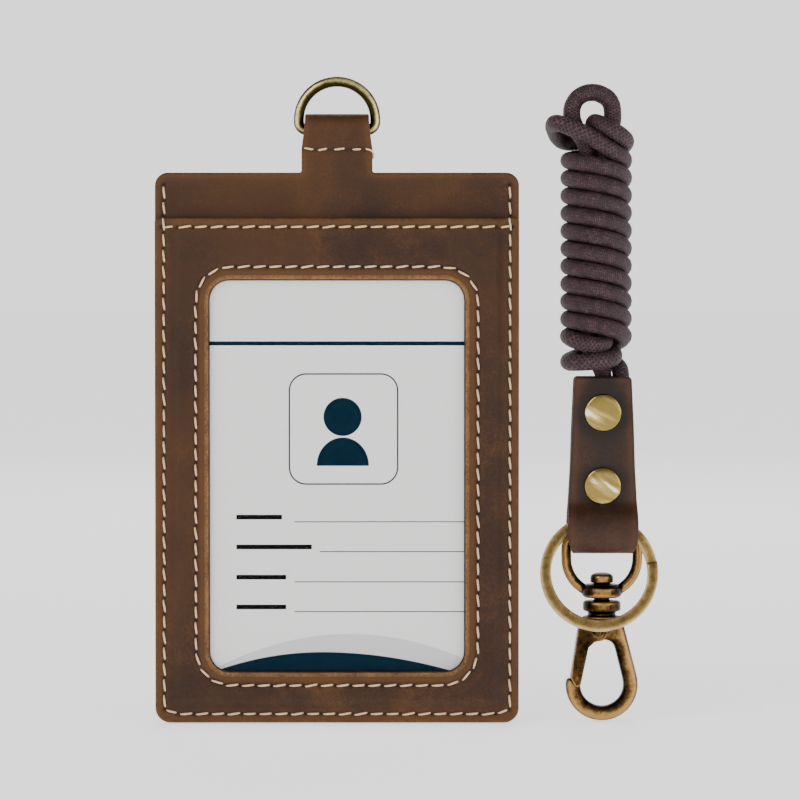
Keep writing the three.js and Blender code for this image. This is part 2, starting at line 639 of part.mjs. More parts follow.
function gate() {
  const outHalf = CORE_HALF + TURNED_GAP + GATE_SHEET;
  const inHalf = CORE_HALF + TURNED_GAP;
  const body = plate(gateOutline(), -outHalf, outHalf);
  const hollow = plate([[-4.25, PIN_Z + 5], [4, PIN_Z + 5], [4, BOW_CENTRE_Z - 3.5],
    [-3.6, BOW_CENTRE_Z - 3.5], [-3.6, BOW_CENTRE_Z - 0.9], [-5.95, BOW_CENTRE_Z + 1.5]], -inHalf, inHalf);
  const tip = turnedY([[0, -inHalf], [16, -inHalf], [16, inHalf], [0, inHalf]], PIN_X, PIN_Z, 96)
    .subtract(turnedY([[0, -4], [NOSE_R - TURNED_GAP, -4], [NOSE_R - TURNED_GAP, 4], [0, 4]], PIN_X, PIN_Z, 96));
  const hole = turnedY([[0, -4], [PIN_R + TURNED_GAP, -4], [PIN_R + TURNED_GAP, 4], [0, 4]], PIN_X, PIN_Z, 24);
  return atLanyard(body.subtract(hollow).subtract(tip).subtract(hole).translate(0, EYE_Y, 0));
}

function gatePin() {
  const half = CORE_HALF + TURNED_GAP + GATE_SHEET + 0.3;
  return atLanyard(turnedY([
    [0, -half], [PIN_R - 0.2, -half], [PIN_R, -half + 0.2], [PIN_R, half - 0.2], [PIN_R - 0.2, half], [0, half],
  ], PIN_X, PIN_Z, 24).translate(0, EYE_Y, 0));
}

function gateSpring() {
  const points = [];
  const r = PIN_R + 0.75;
  points.push([r, -0.42, 1.4]);
  for (let t = 0; t <= 540; t += 20) {
    const angle = THREE.MathUtils.degToRad(-t);
    points.push([r * Math.cos(angle), -0.42 + 0.84 * t / 540, r * Math.sin(angle)]);
  }
  points.push([-r, 0.42, 1.4]);
  return atLanyard(rod(points, roundSection(0.2, 6), 60).translate(PIN_X, EYE_Y, PIN_Z));
}

// Wound cord

// Point on one of the two coils; turn 0 is the right side and the coil climbs by its lead each turn
function coil(turn, startZ) {
  const angle = 2 * Math.PI * turn;
  return [COIL_R * Math.cos(angle), -COIL_R * Math.sin(angle), startZ + COIL_LEAD * turn + 0.7 * Math.sin(angle)];
}

function coilRun(fromTurn, toTurn, startZ) {
  const run = [];
  const count = Math.round(Math.abs(toTurn - fromTurn) * COIL_STEPS);
  for (let i = 0; i <= count; i++) run.push(coil(fromTurn + (toTurn - fromTurn) * i / count, startZ));
  return run;
}

function coreRun(x, y, fromZ, toZ) {
  return [0, 0.06, 0.3, 0.5, 0.7, 0.94, 1].map((part) => [x, y, fromZ + (toZ - fromZ) * part]);
}

function cordRoute() {
  const c = CORE_OFF;
  const firstStart = 4.775;
  const secondStart = 0.975;
  return [
    [1.5, 0, -5], [1.5, 0, -2], [1.5, 0, 0.6], [0.3, -0.8, 3], [-1.1, -1.35, 5.5], [-1.75, -1.62, 8],
    ...coreRun(-c, -c, 10.5, 47.5), [-2.6, -c, 50.4], [-4.3, -c, 53], [-5.3, -c, 56.3], [-4.6, -c, 59],
    [-3, -c, 60.4], [-0.9, -c, 60.9], [1.2, -c, 60.4], [2.9, -c, 59], [3.5, -c, 56.3],
    [3.3, -c, 54], [2.6, -c, 52], ...coreRun(c, -c, 49.5, 10.5), [c - 0.05, -c - 0.3, 8.7],
    [1.6, -3.15, 7.3], [0.9, -4.6, 6.9], [-1, -5.4, 6.9], [-3.6, -4.9, 7.5],
    ...coilRun(0.5, 5.875, firstStart),
    [6.2, -0.5, 50], [5.6, -4, 51.2], [3.4, -5.6, 52.6], [1.2, -5.2, 53.8], [-0.2, -3, 54.4],
    [-0.5, 0, 54.3], [-0.6, 2.4, 53.7], [-0.9, 4.5, 52.4], [-2.6, 5.4, 51.1], [-5.2, 5.4, 50.3],
    [-7, 4.6, 50.6], [-8, 3.2, 51.3],
    [-8.8, 1, 52.6], [-9.2, -1.8, 53.9], [-8.3, -4.6, 54.2], [-5, -5.8, 53], [-0.8, -6, 50.9], [2, -5.6, 49],
    ...coilRun(6.125, 1, secondStart),
    [4.2, 4.2, 7], [0, 5.9, 5.4], [-4.2, 4.2, 3.9], [-5.9, 0, 3.1], [-3.6, -4.7, 3.1], [0, -5.8, 3.4],
    [2.8, -4.6, 3.8], [3.8, -2, 4.6], [3.2, 0.2, 5.6], [2.05, 1.25, 7.3], ...coreRun(c, c, 10, 50.2),
    [2.5, c, 52.4], [3.3, c, 54.4], [3.5, c, 56.6], [2.9, c, 59], [1.2, c, 60.4], [-0.9, c, 60.9],
    [-3, c, 60.4], [-4.6, c, 59], [-5.3, c, 56.3], [-4.3, c, 53], [-2.6, c, 50.6],
    ...coreRun(-c, c, 48, 8.4), [-0.9, 2.3, 5.4], [1.3, 2.9, 3.6], [3.7, 2.7, 2.9], [5, 1.5, 1.9],
    [5.35, 0.2, 0.4], [5.3, 0, -2], [5.3, 0, -5],
  ];
}

function cordPoints() {
  const route = cordRoute().map((p) => new THREE.Vector3(...p));
  const path = new THREE.CatmullRomCurve3(route, false, 'centripetal');
  const points = [];
  for (let i = 0; i < route.length - 1; i++) {
    const chord = route[i].distanceTo(route[i + 1]);
    const straight = Math.hypot(route[i].x - route[i + 1].x, route[i].y - route[i + 1].y) < 0.01;
    const parts = straight ? 1 : Math.max(1, Math.ceil(chord / 1.75));
    for (let k = 0; k < parts; k++) points.push(path.getPoint((i + k / parts) / (route.length - 1)));
  }
  points.push(route[route.length - 1]);
  return points;
}

function cordReport(points) {
  let total = 0;
  const even = [];
  for (let i = 1; i < points.length; i++) {
    const chord = points[i].distanceTo(points[i - 1]);
    const parts = Math.max(1, Math.ceil(chord / 0.8));
    for (let k = 0; k < parts; k++) {
      even.push({ s: total + chord * k / parts, p: points[i - 1].clone().lerp(points[i], k / parts) });
    }
    total += chord;
  }
  let least = Infinity;
  let where = null;
  for (let i = 0; i < even.length; i++) {
    for (let j = i + 1; j < even.length; j++) {
      if (even[j].s - even[i].s < 9) continue;
      const gap = even[i].p.distanceTo(even[j].p) - 2 * CORD_R;
      if (gap < least) {
        least = gap;
        where = [even[i].p, even[j].p];
      }
    }
  }
  const spot = where.map((p) => `(${p.x.toFixed(1)}, ${p.y.toFixed(1)}, ${p.z.toFixed(1)})`).join(' and ');
  console.log(`cord length ${total.toFixed(1)} mm, least gap to itself ${least.toFixed(2)} mm at ${spot}`);
}

// One tube through all the points, its section carried along without twist
function neckCord() {
  const points = cordPoints();
  cordReport(points);
  const sides = 6;
  const last = points.length - 1;
  const positions = [];
  const normal = new THREE.Vector3(1, 0, 0);
  const tangent = new THREE.Vector3();
  const across = new THREE.Vector3();
  points.forEach((p, i) => {
    tangent.subVectors(points[Math.min(last, i + 1)], points[Math.max(0, i - 1)]).normalize();
    normal.addScaledVector(tangent, -normal.dot(tangent)).normalize();
    across.crossVectors(tangent, normal);
    for (let k = 0; k < sides; k++) {
      const angle = 2 * Math.PI * k / sides;
      const v = p.clone().addScaledVector(normal, CORD_R * Math.cos(angle))
        .addScaledVector(across, CORD_R * Math.sin(angle));
      positions.push(v.x, v.y, v.z);
    }
  });
  const index = [];
  for (let i = 0; i < last; i++) {
    for (let k = 0; k < sides; k++) {
      const a = i * sides + k;
      const b = i * sides + (k + 1) % sides;
      index.push(a, b, b + sides, a, b + sides, a + sides);
    }
  }
  for (let k = 1; k < sides - 1; k++) {
    index.push(0, k + 1, k);
    index.push(last * sides, last * sides + k, last * sides + k + 1);
  }
  const geometry = new THREE.BufferGeometry();
  geometry.setAttribute('position', new THREE.BufferAttribute(new Float32Array(positions), 3));
  geometry.setIndex(index);
  return atLanyard(solid(geometry).translate(CORD_X, 0, 0));
}

// The whole set

const set = new THREE.Group();
set.name = 'leather_id_card_holder';
const upperFace = TAB_GAP + TAB_LEATHER;
const lowerFace = TAB_CLOSED + TAB_LEATHER;
set.add(named('front_panel', frontPanel(), 'leather'));
set.add(named('window_film', windowFilm(), 'clear_film'));
set.add(named('id_card', idCard(), 'card_print'));
set.add(named('middle_panel', middlePanel(), 'leather'));
set.add(named('back_panel', backPanel(), 'leather'));
set.add(named('access_card', accessCard(), 'card_white'));
set.add(named('strap_tail', strapTail(), 'leather'));
set.add(named('d_ring', dRing(), 'antique_brass'));
set.add(named('snap_cap', snapCap(), 'antique_brass'));
set.add(named('snap_socket', snapSocket(), 'antique_brass'));
set.add(named('snap_stud', snapStud(), 'antique_brass'));
set.add(named('snap_stud_post', snapStudPost(), 'antique_brass'));
set.add(named('neck_cord', neckCord(), 'waxed_cord'));
set.add(named('lanyard_tab', lanyardTab(), 'leather'));
set.add(named('upper_rivet_cap', rivetCap(UPPER_RIVET_Z, upperFace), 'rivet_brass'));
set.add(named('upper_rivet_post', rivetPost(UPPER_RIVET_Z, upperFace), 'rivet_brass'));
set.add(named('lower_rivet_cap', rivetCap(LOWER_RIVET_Z, lowerFace), 'rivet_brass'));
set.add(named('lower_rivet_post', rivetPost(LOWER_RIVET_Z, lowerFace), 'rivet_brass'));
set.add(named('split_ring', splitRing(), 'ring_bronze'));
set.add(named('swivel_eye', swivelEye(), 'hook_bronze'));
set.add(named('hook_body', hookBody(), 'hook_bronze'));
set.add(named('gate', gate(), 'hook_bronze'));
set.add(named('gate_pin', gatePin(), 'hook_bronze'));
set.add(named('gate_spring', gateSpring(), 'spring_steel'));

export default set;
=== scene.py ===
# An upright leather card holder that hangs from a wire ring, and its cord lanyard with a swivel trigger hook.
# Metres, +Z up, the window side facing -Y, the lanyard beside the holder on the +X side.
import bpy
import bmesh
import math
from mathutils import Matrix, Vector, noise


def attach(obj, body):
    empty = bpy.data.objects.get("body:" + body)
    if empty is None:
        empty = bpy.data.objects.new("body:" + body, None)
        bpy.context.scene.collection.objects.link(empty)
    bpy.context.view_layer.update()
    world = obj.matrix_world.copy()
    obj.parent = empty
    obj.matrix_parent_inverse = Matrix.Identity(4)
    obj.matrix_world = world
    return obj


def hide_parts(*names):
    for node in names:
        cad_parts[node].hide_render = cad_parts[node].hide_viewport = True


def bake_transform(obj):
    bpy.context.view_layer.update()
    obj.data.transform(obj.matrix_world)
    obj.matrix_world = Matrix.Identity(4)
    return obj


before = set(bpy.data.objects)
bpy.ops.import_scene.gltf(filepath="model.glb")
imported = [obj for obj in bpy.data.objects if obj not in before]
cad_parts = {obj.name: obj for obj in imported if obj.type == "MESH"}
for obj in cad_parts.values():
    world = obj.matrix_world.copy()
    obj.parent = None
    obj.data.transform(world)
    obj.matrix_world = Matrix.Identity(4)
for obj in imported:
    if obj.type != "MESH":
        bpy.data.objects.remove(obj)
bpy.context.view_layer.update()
MM = 0.001

# The view: straight on to the window side from a long way off, so that the upright edges stay parallel.
# The studio is a pale floor that meets a pale sky, with one broad soft light up on the left, one on the right
# and one behind; the lights themselves don't show.
VIEW_WIDTH = 0.172
VIEW_AIM = Vector((0.0135, 0, -0.0672))
VIEW_AWAY = 0.95
VIEW_LIFT = math.radians(2)
SENSOR_WIDTH = 36
FLOOR_Z = -0.1366
FLOOR_R = 6


def add(name, data):
    data.name = name
    made = bpy.data.objects.new(name, data)
    bpy.context.scene.collection.objects.link(made)
    return made


lens = bpy.data.cameras.new("view")
lens.sensor_width = SENSOR_WIDTH
lens.lens = SENSOR_WIDTH * VIEW_AWAY / VIEW_WIDTH
lens.clip_start = 0.02
lens.clip_end = 20
view = add("view", lens)
view.location = VIEW_AIM + Vector((0, -math.cos(VIEW_LIFT), math.sin(VIEW_LIFT))) * VIEW_AWAY
view.rotation_euler = (math.pi / 2 - VIEW_LIFT, 0, 0)
bpy.context.scene.camera = view


def soft_light(name, place, aim, width, height, watts, tint):
    lamp = bpy.data.lights.new(name, "AREA")
    lamp.shape = "RECTANGLE"
    lamp.size = width
    lamp.size_y = height
    lamp.energy = watts
    lamp.color = tint
    holder = add(name, lamp)
    holder.location = place
    holder.rotation_euler = (Vector(aim) - Vector(place)).to_track_quat("-Z", "Y").to_euler()
    holder.visible_camera = False


soft_light("light_left", (-0.55, -0.75, 0.55), (0, 0, -0.07), 0.5, 0.5, 3.2, (1, 0.985, 0.96))
soft_light("light_right", (0.8, -0.6, 0.15), (0.02, 0, -0.07), 0.25, 0.7, 1.4, (0.97, 0.985, 1))
soft_light("light_back", (0.1, 0.9, 0.6), (0, 0, -0.07), 0.6, 0.4, 2.6, (1, 0.99, 0.97))


class Tone:
    """A value or colour on its way through a node tree, with sums written as sums."""

    def __init__(self, tree, socket=None):
        self.tree = tree
        self.socket = socket

    def node(self, kind, links=None, out=0, stops=(), **settings):
        """A new node, with its settings, its ramp's stops, and the values or links of its sockets."""
        made = self.tree.nodes.new(kind)
        for name, value in settings.items():
            setattr(made, name, value)
        if stops:
            points = made.color_ramp.elements
            while len(points) < len(stops):
                points.new(0.5)
            for point, (place, shade) in zip(points, stops):
                point.position = place
                point.color = shade
        for name, value in (links or {}).items():
            port = made.inputs[name]
            if isinstance(value, Tone):
                self.tree.links.new(value.socket, port)
            else:
                port.default_value = value
        return Tone(self.tree, made.outputs[out])

    def sum(self, operation, a, b=0, clamp=False):
        return self.node("ShaderNodeMath", {0: a, 1: b}, operation=operation, use_clamp=clamp)

    __add__ = lambda self, other: self.sum("ADD", self, other)
    __radd__ = lambda self, other: self.sum("ADD", other, self)
    __sub__ = lambda self, other: self.sum("SUBTRACT", self, other)
    __rsub__ = lambda self, other: self.sum("SUBTRACT", other, self)
    __mul__ = lambda self, other: self.sum("MULTIPLY", self, other)
    __rmul__ = lambda self, other: self.sum("MULTIPLY", other, self)
    __truediv__ = lambda self, other: self.sum("DIVIDE", self, other)

    def place(self):
        """Where a point lies in its piece's own space, in metres."""
        return self.node("ShaderNodeTexCoord", out=3)

    def part(self, vector, index):
        return self.node("ShaderNodeSeparateXYZ", {0: vector}, out=index)

    def mark(self, name):
        """A number that the mesh keeps at every point."""
        return self.node("ShaderNodeAttribute", out=2, attribute_name=name)

    def noise(self, at, scale, detail, roughness=0.5, distortion=0):
        return self.node("ShaderNodeTexNoise", {"Vector": at, "Scale": scale, "Detail": detail,
                                                "Roughness": roughness, "Distortion": distortion})

    def ramp(self, value, *stops):
        """The colour that a ramp has at a value; its stops are places and six-figure codes."""
        return self.node("ShaderNodeValToRGB", {0: value}, stops=[(at, colour(code)) for at, code in stops])

    def below(self, limit, soft):
        """1 where this is under the limit, falling to 0 over a soft edge."""
        return self.node("ShaderNodeMapRange", {0: self, 1: limit + soft, 2: limit - soft},
                         interpolation_type="SMOOTHSTEP")

    def blend(self, first, second):
        """The first colour where this is 0, the second where it is 1."""
        return self.node("ShaderNodeMix", {0: self, 6: first, 7: second}, out=2, data_type="RGBA")

    def feed(self, port, shader="Principled BSDF"):
        self.tree.links.new(self.socket, self.tree.nodes[shader].inputs[port])

    def emboss(self, strength, distance):
        """Makes the surface look as high as this is."""
        bump = self.node("ShaderNodeBump", {"Height": self, "Strength": strength, "Distance": distance})
        bump.feed("Normal")


def colour(code):
    """A linear colour with alpha from a six-figure code."""
    parts = [int(code[i:i + 2], 16) / 255 for i in (0, 2, 4)]
    return (*[p / 12.92 if p <= 0.04045 else ((p + 0.055) / 1.055) ** 2.4 for p in parts], 1)


def new_finish(name, **constants):
    """A principled material with its constant sockets set, and a Tone to start from."""
    finish = bpy.data.materials.new(name)
    finish.use_nodes = True
    for port, value in constants.items():
        finish.node_tree.nodes["Principled BSDF"].inputs[port.replace("_", " ")].default_value = value
    return finish, Tone(finish.node_tree)


def mesh_from(shape, closed=False):
    """The mesh of a finished bmesh, which is given back; a closed one has its faces turned outwards first."""
    if closed:
        bmesh.ops.recalc_face_normals(shape, faces=shape.faces)
    mesh = bpy.data.meshes.new("shape")
    shape.to_mesh(mesh)
    shape.free()
    return mesh


sky = bpy.data.worlds.new("studio")
sky.use_nodes = True
t = Tone(sky.node_tree)
t.node("ShaderNodeValToRGB", {0: t.part(t.node("ShaderNodeTexCoord"), 2)},
       stops=[(0.1, (1.6, 1.6, 1.6, 1)), (0.55, (0.42, 0.42, 0.43, 1))]).feed("Color", "Background")
bpy.context.scene.world = sky

paper, _ = new_finish("studio_paper", Base_Color=(0.97, 0.97, 0.97, 1), Roughness=0.9,
                      Specular_IOR_Level=0, Emission_Color=(1, 1, 1, 1), Emission_Strength=0.98)
disc = bmesh.new()
bmesh.ops.create_circle(disc, cap_ends=True, segments=64, radius=FLOOR_R,
                        matrix=Matrix.Translation((0, 0, FLOOR_Z)))
floor = add("studio_floor", mesh_from(disc))
floor.data.materials.append(paper)

# The neck cord: one waxed, fine-braided cord of about 0.76 m, doubled into four core runs with a hanging
# loop at the top, wound down and up again in twelve wraps, its bight tucked through the loop.
# Both of its ends are clamped between the leathers of the tab.
LANYARD_Z = -62.1
CORD_D = 3.66
CORD_AXIS = 55.6
COIL_R = 5.9
COIL_LEAD = 7.55
COIL_TILT = 0.7
COIL_STEPS = 24
CORE_OFF = 1.75
YARNS = 16
LAY = 1.15


def coil_run(first_turn, last_turn, start_z):
    count = round(abs(last_turn - first_turn) * COIL_STEPS)
    run = []
    for i in range(count + 1):
        turn = first_turn + (last_turn - first_turn) * i / count
        angle = 2 * math.pi * turn
        run.append((COIL_R * math.cos(angle), -COIL_R * math.sin(angle),
                    start_z + COIL_LEAD * turn + COIL_TILT * math.sin(angle)))
    return run


def core_run(x, y, first_z, last_z):
    return [(x, y, first_z + (last_z - first_z) * part) for part in (0, 0.06, 0.3, 0.5, 0.7, 0.94, 1)]


c = CORE_OFF
cord_route = [
    (1.5, 0, -5), (1.5, 0, -2), (1.5, 0, 0.6), (0.3, -0.8, 3), (-1.1, -1.35, 5.5), (-1.75, -1.62, 8),
    *core_run(-c, -c, 10.5, 47.5), (-2.6, -c, 50.4), (-4.3, -c, 53), (-5.3, -c, 56.3), (-4.6, -c, 59),
    (-3, -c, 60.4), (-0.9, -c, 60.9), (1.2, -c, 60.4), (2.9, -c, 59), (3.5, -c, 56.3),
    (3.3, -c, 54), (2.6, -c, 52), *core_run(c, -c, 49.5, 10.5), (c - 0.05, -c - 0.3, 8.7),
    (1.6, -3.15, 7.3), (0.9, -4.6, 6.9), (-1, -5.4, 6.9), (-3.6, -4.9, 7.5),
    *coil_run(0.5, 5.875, 4.775),
    (6.2, -0.5, 50), (5.6, -4, 51.2), (3.4, -5.6, 52.6), (1.2, -5.2, 53.8), (-0.2, -3, 54.4),
    (-0.5, 0, 54.3), (-0.6, 2.4, 53.7), (-0.9, 4.5, 52.4), (-2.6, 5.4, 51.1), (-5.2, 5.4, 50.3),
    (-7, 4.6, 50.6), (-8, 3.2, 51.3),
    (-8.8, 1, 52.6), (-9.2, -1.8, 53.9), (-8.3, -4.6, 54.2), (-5, -5.8, 53), (-0.8, -6, 50.9), (2, -5.6, 49),
    *coil_run(6.125, 1, 0.975),
    (4.2, 4.2, 7), (0, 5.9, 5.4), (-4.2, 4.2, 3.9), (-5.9, 0, 3.1), (-3.6, -4.7, 3.1), (0, -5.8, 3.4),
    (2.8, -4.6, 3.8), (3.8, -2, 4.6), (3.2, 0.2, 5.6), (2.05, 1.25, 7.3), *core_run(c, c, 10, 50.2),
    (2.5, c, 52.4), (3.3, c, 54.4), (3.5, c, 56.6), (2.9, c, 59), (1.2, c, 60.4), (-0.9, c, 60.9),
    (-3, c, 60.4), (-4.6, c, 59), (-5.3, c, 56.3), (-4.3, c, 53), (-2.6, c, 50.6),
    *core_run(-c, c, 48, 8.4), (-0.9, 2.3, 5.4), (1.3, 2.9, 3.6), (3.7, 2.7, 2.9), (5, 1.5, 1.9),
    (5.35, 0.2, 0.4), (5.3, 0, -2), (5.3, 0, -5),
]
cord_route = [Vector((x + CORD_AXIS, y, z + LANYARD_Z)) * MM for x, y, z in cord_route]


def baked(former):
    """The mesh that an object comes out as, the object itself being used up."""
    bpy.context.view_layer.update()
    mesh = bpy.data.meshes.new_from_object(former.evaluated_get(bpy.context.evaluated_depsgraph_get()))
    bpy.data.objects.remove(former)
    return mesh


def bent_line(points, radius=0, round_steps=3, between=3):
    """A curve through the points, made a mesh: a line of edges, or a tube when it has a radius."""
    curve = bpy.data.curves.new("line", "CURVE")
    curve.dimensions = "3D"
    curve.resolution_u = between
    curve.bevel_depth = radius
    curve.bevel_resolution = round_steps
    curve.use_fill_caps = radius > 0
    line = curve.splines.new("BEZIER")
    line.bezier_points.add(len(points) - 1)
    for knot, point in zip(line.bezier_points, points):
        knot.co = point
        knot.handle_left_type = knot.handle_right_type = "AUTO"
    mesh = baked(add("line", curve))
    bpy.data.curves.remove(curve)
    return mesh


def piece(name, mesh, body, finish):
    """A finished piece: it takes its material, and moves with its body if it has one alone."""
    made = add(name, mesh)
    mesh.materials.clear()
    mesh.materials.append(finish)
    mesh.shade_smooth()
    if body:
        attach(made, body)
    return made


cord_finish, t = new_finish("waxed_braid", Specular_IOR_Level=0.35)
braid = t.node("ShaderNodeUVMap", uv_map="braid")
u = t.part(braid, 0)
v = t.part(braid, 1)
at = t.place()
fibre = t.noise(at, 2300, 4, 0.7)
wax = t.noise(at, 650, 4, 0.65)
wander = wax * 0.35
plait_and_groove_shade = t.sum("MAXIMUM", t.sum("SINE", (u / LAY + v) * (math.pi * YARNS) + wander),
              t.sum("SINE", (u / LAY - v) * (math.pi * YARNS) - wander))
# partly painted shade: the plait darkens the grooves between the yarns and lightens their crowns; the fibre
# and wax mottling is the cord's own colour
t.ramp(fibre * 0.6 + plait_and_groove_shade * 0.12 + wax * 0.4,
       (0.42, "180d10"), (0.55, "2f1b21"), (0.67, "4f363b"), (0.8, "705a5c")).feed("Base Color")
(wax * 0.4 + 0.4).feed("Roughness")
(plait_and_groove_shade * 0.4 + fibre * 0.8).emboss(0.8, 0.00018)

cord_mesh = bent_line(cord_route, CORD_D / 2 * MM, round_steps=6)
cord_line = bent_line(cord_route)
cord_path = [tuple(knot.co) for knot in cord_line.vertices]
cord_length = sum((Vector(a) - Vector(b)).length for a, b in zip(cord_path, cord_path[1:]))
bpy.data.meshes.remove(cord_line)
cord_mesh.uv_layers[0].name = "braid"
for corner in cord_mesh.uv_layers["braid"].data:
    corner.uv = (corner.uv[0] * cord_length / (CORD_D * MM), corner.uv[1])
neck_cord = piece("neck_cord_look", cord_mesh, "lanyard", cord_finish)
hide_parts("neck_cord")

# The front leaf: 1.4 mm waxed pull-up hide, its edge rubbed round, stitched down at the sides and foot and
# standing up over the card inside them. The hide is paler where it is handled, from its edges to the seams,
# and the thread draws it in at every needle hole, where painted shade darkens the pit.
LEATHER = 1.4
EDGE_ROUND = 0.42
INNER_ROUND = 0.6
HOLE_ROUND = 1.9
HOLE_LEAN = 0.3
HOLDER_HALF = 39
HOLDER_TOP = -18.4
HOLDER_FOOT = -136.4
FOOT_R = 3.2
POCKET_TOP_R = 0.8
STITCH_IN = 1.95
STITCH_PITCH = 3.4
NEAR_HOLE = 2
SEAM_DEEP = 0.16
SEAM_WIDE = 0.7
PIT_DEEP = 0.34
PIT_WIDE = 0.36
PIT_LONG = 0.42
CREASE_WIDE = 0.45
CREASE_SHADE = 0.4
HANDLED_FADE = 0.7
RIM_WIDTH = 3.3
RISE_RUN = 2.1
FRONT_EDGE = -28.2
FRONT_RIM_Y = -4.05
FRONT_RISE = 1.4
WINDOW_HALF = 27.5
WINDOW_FOOT = -125.5
WINDOW_HEAD = -41.2
WINDOW_R = 4.5
WINDOW_STITCH = 2.7


def leather(name, deep, middle, pale, raw, warm, shine=0.52, pressed=()):
    """Pulled-up hide. Pressed are places, as x, z and a radius in millimetres, where it is burnished dark."""
    finish, t = new_finish(name, Specular_IOR_Level=0.26)
    at = t.place()
    patch = t.noise(at, 19, 3, 0.55)
    cloud = t.noise(at, 34, 4, 0.6, 0.5)
    smudge = t.noise(at, 190, 5, 0.65)
    speck = t.noise(at, 1900, 3, 0.7)
    crease = t.noise(at, 560, 5, 0.7, 1.4)
    pore = t.node("ShaderNodeTexVoronoi", {"Vector": at, "Scale": 1700}, feature="SMOOTH_F1")
    hide = t.ramp(cloud * 0.42 + smudge * 0.28 + speck * 0.3, (0.36, deep), (0.5, middle), (0.66, pale))
    hide = ((1 - patch.below(0.54, 0.1)) * 0.55).blend(hide, colour(warm))
    hide = t.sum("MULTIPLY", t.mark("pull"), 0.35 + smudge * 0.8, clamp=True).blend(hide, colour(pale))
    if pressed:
        x = t.part(at, 0) * 1000
        z = t.part(at, 2) * 1000
        burnt = 0
        for mark_x, mark_z, mark_r in pressed:
            dx, dz = x - mark_x, z - mark_z
            near = t.sum("SQRT", dx * dx + dz * dz) + cloud * 2.5
            burnt = t.sum("MAXIMUM", burnt, near.below(mark_r, 1.6))
        hide = (burnt * 0.85).blend(hide, colour(deep))
    # painted shade: near-black in the needle pits, in the seam creases and on the walls of a cut hole
    hide = t.mark("pit").blend(hide, colour("0b0604"))
    cut = t.mark("cut")
    fibre = t.ramp(speck * 0.6 + smudge * 0.4, (0.38, pale), (0.6, raw))
    cut.blend(hide, fibre).feed("Base Color")
    (shine - 0.08 + smudge * 0.22 + cut * 0.25).feed("Roughness")
    (pore * 0.45 + crease * 0.8 + speck * 0.35).emboss(0.4, 0.0002)
    return finish


holder_leather = leather("holder_leather", "221208", "361e0c", "583716", "ac8054", "482a0c")


def clamped(part):
    return min(1, max(0, part))


def ease(part):
    part = clamped(part)
    return part * part * (3 - 2 * part)


def block(half, foot, head, foot_r, head_r):
    """The corners of an upright block, for cut_line, with the radii of its lower and upper ones."""
    return [(-half, foot, foot_r), (half, foot, foot_r), (half, head, head_r), (-half, head, head_r)]


def cut_line(corners, inset, parts, round_parts=8):
    """Points round an outline of square-set edges, drawn in by an inset. Corners run anticlockwise, as x, z
    and the radius of their rounding; each side between two corners is divided into its number of parts."""
    count = len(corners)
    ways = []
    for i in range(count):
        (x0, z0, _), (x1, z1, _) = corners[i], corners[(i + 1) % count]
        ways.append(Vector((x1 - x0, z1 - z0)).normalized())
    turns = []
    for i, (x, z, r) in enumerate(corners):
        came, goes = ways[i - 1], ways[i]
        outward_turn = came.x * goes.y - came.y * goes.x > 0
        r = max(0.02, r - inset) if outward_turn else r + inset
        tip = Vector((x, z)) + inset * (Vector((-came.y, came.x)) + Vector((-goes.y, goes.x)))
        centre = tip + (goes - came) * r
        turns.append([centre + r * (came * math.sin(k * math.pi / 2 / round_parts)
                                    - goes * math.cos(k * math.pi / 2 / round_parts))
                      for k in range(round_parts + 1)])
    points = []
    for i, turn in enumerate(turns):
        follows = turns[(i + 1) % count][0]
        points += turn + [turn[-1].lerp(follows, k / parts[i]) for k in range(1, parts[i])]
    return points


def needle_holes(line, closed=True):
    """Needle holes spaced evenly along a line, each with the way the seam runs there."""
    ring = list(line) + ([line[0]] if closed else [])
    length = sum((b - a).length for a, b in zip(ring, ring[1:]))
    count = round(length / STITCH_PITCH)
    pitch = length / count
    count += not closed
    holes, walked, wanted = [], 0, 0
    for a, b in zip(ring, ring[1:]):
        step = (b - a).length
        while step > 1e-9 and wanted <= walked + step + 1e-6 and len(holes) < count:
            holes.append((a.lerp(b, (wanted - walked) / step), (b - a) / step))
            wanted += pitch
        walked += step
    return holes


def drawn_in(x, z, seams):
    """How deep the thread draws the hide in at a point, in millimetres, and how near a needle hole it is."""
    deep, near = 0, 0
    for seam in seams:
        for hole, way in seam:
            ax, az = x - hole.x, z - hole.y
            if abs(ax) > NEAR_HOLE or abs(az) > NEAR_HOLE:
                continue
            along, off = ax * way.x + az * way.y, ax * way.y - az * way.x
            if abs(along) <= STITCH_PITCH / 2 + 0.05:
                pit = math.exp(-((off / PIT_WIDE) ** 2) - (along / PIT_LONG) ** 2)
                deep = max(deep, SEAM_DEEP * math.exp(-((off / SEAM_WIDE) ** 2)) + PIT_DEEP * pit)
                near = max(near, pit)
    return deep, near


def join(shape, loops):
    """Faces from each loop of points to the next."""
    for near, far in zip(loops, loops[1:]):
        for i in range(len(near)):
            j = (i + 1) % len(near)
            shape.faces.new((near[i], near[j], far[j], far[i]))


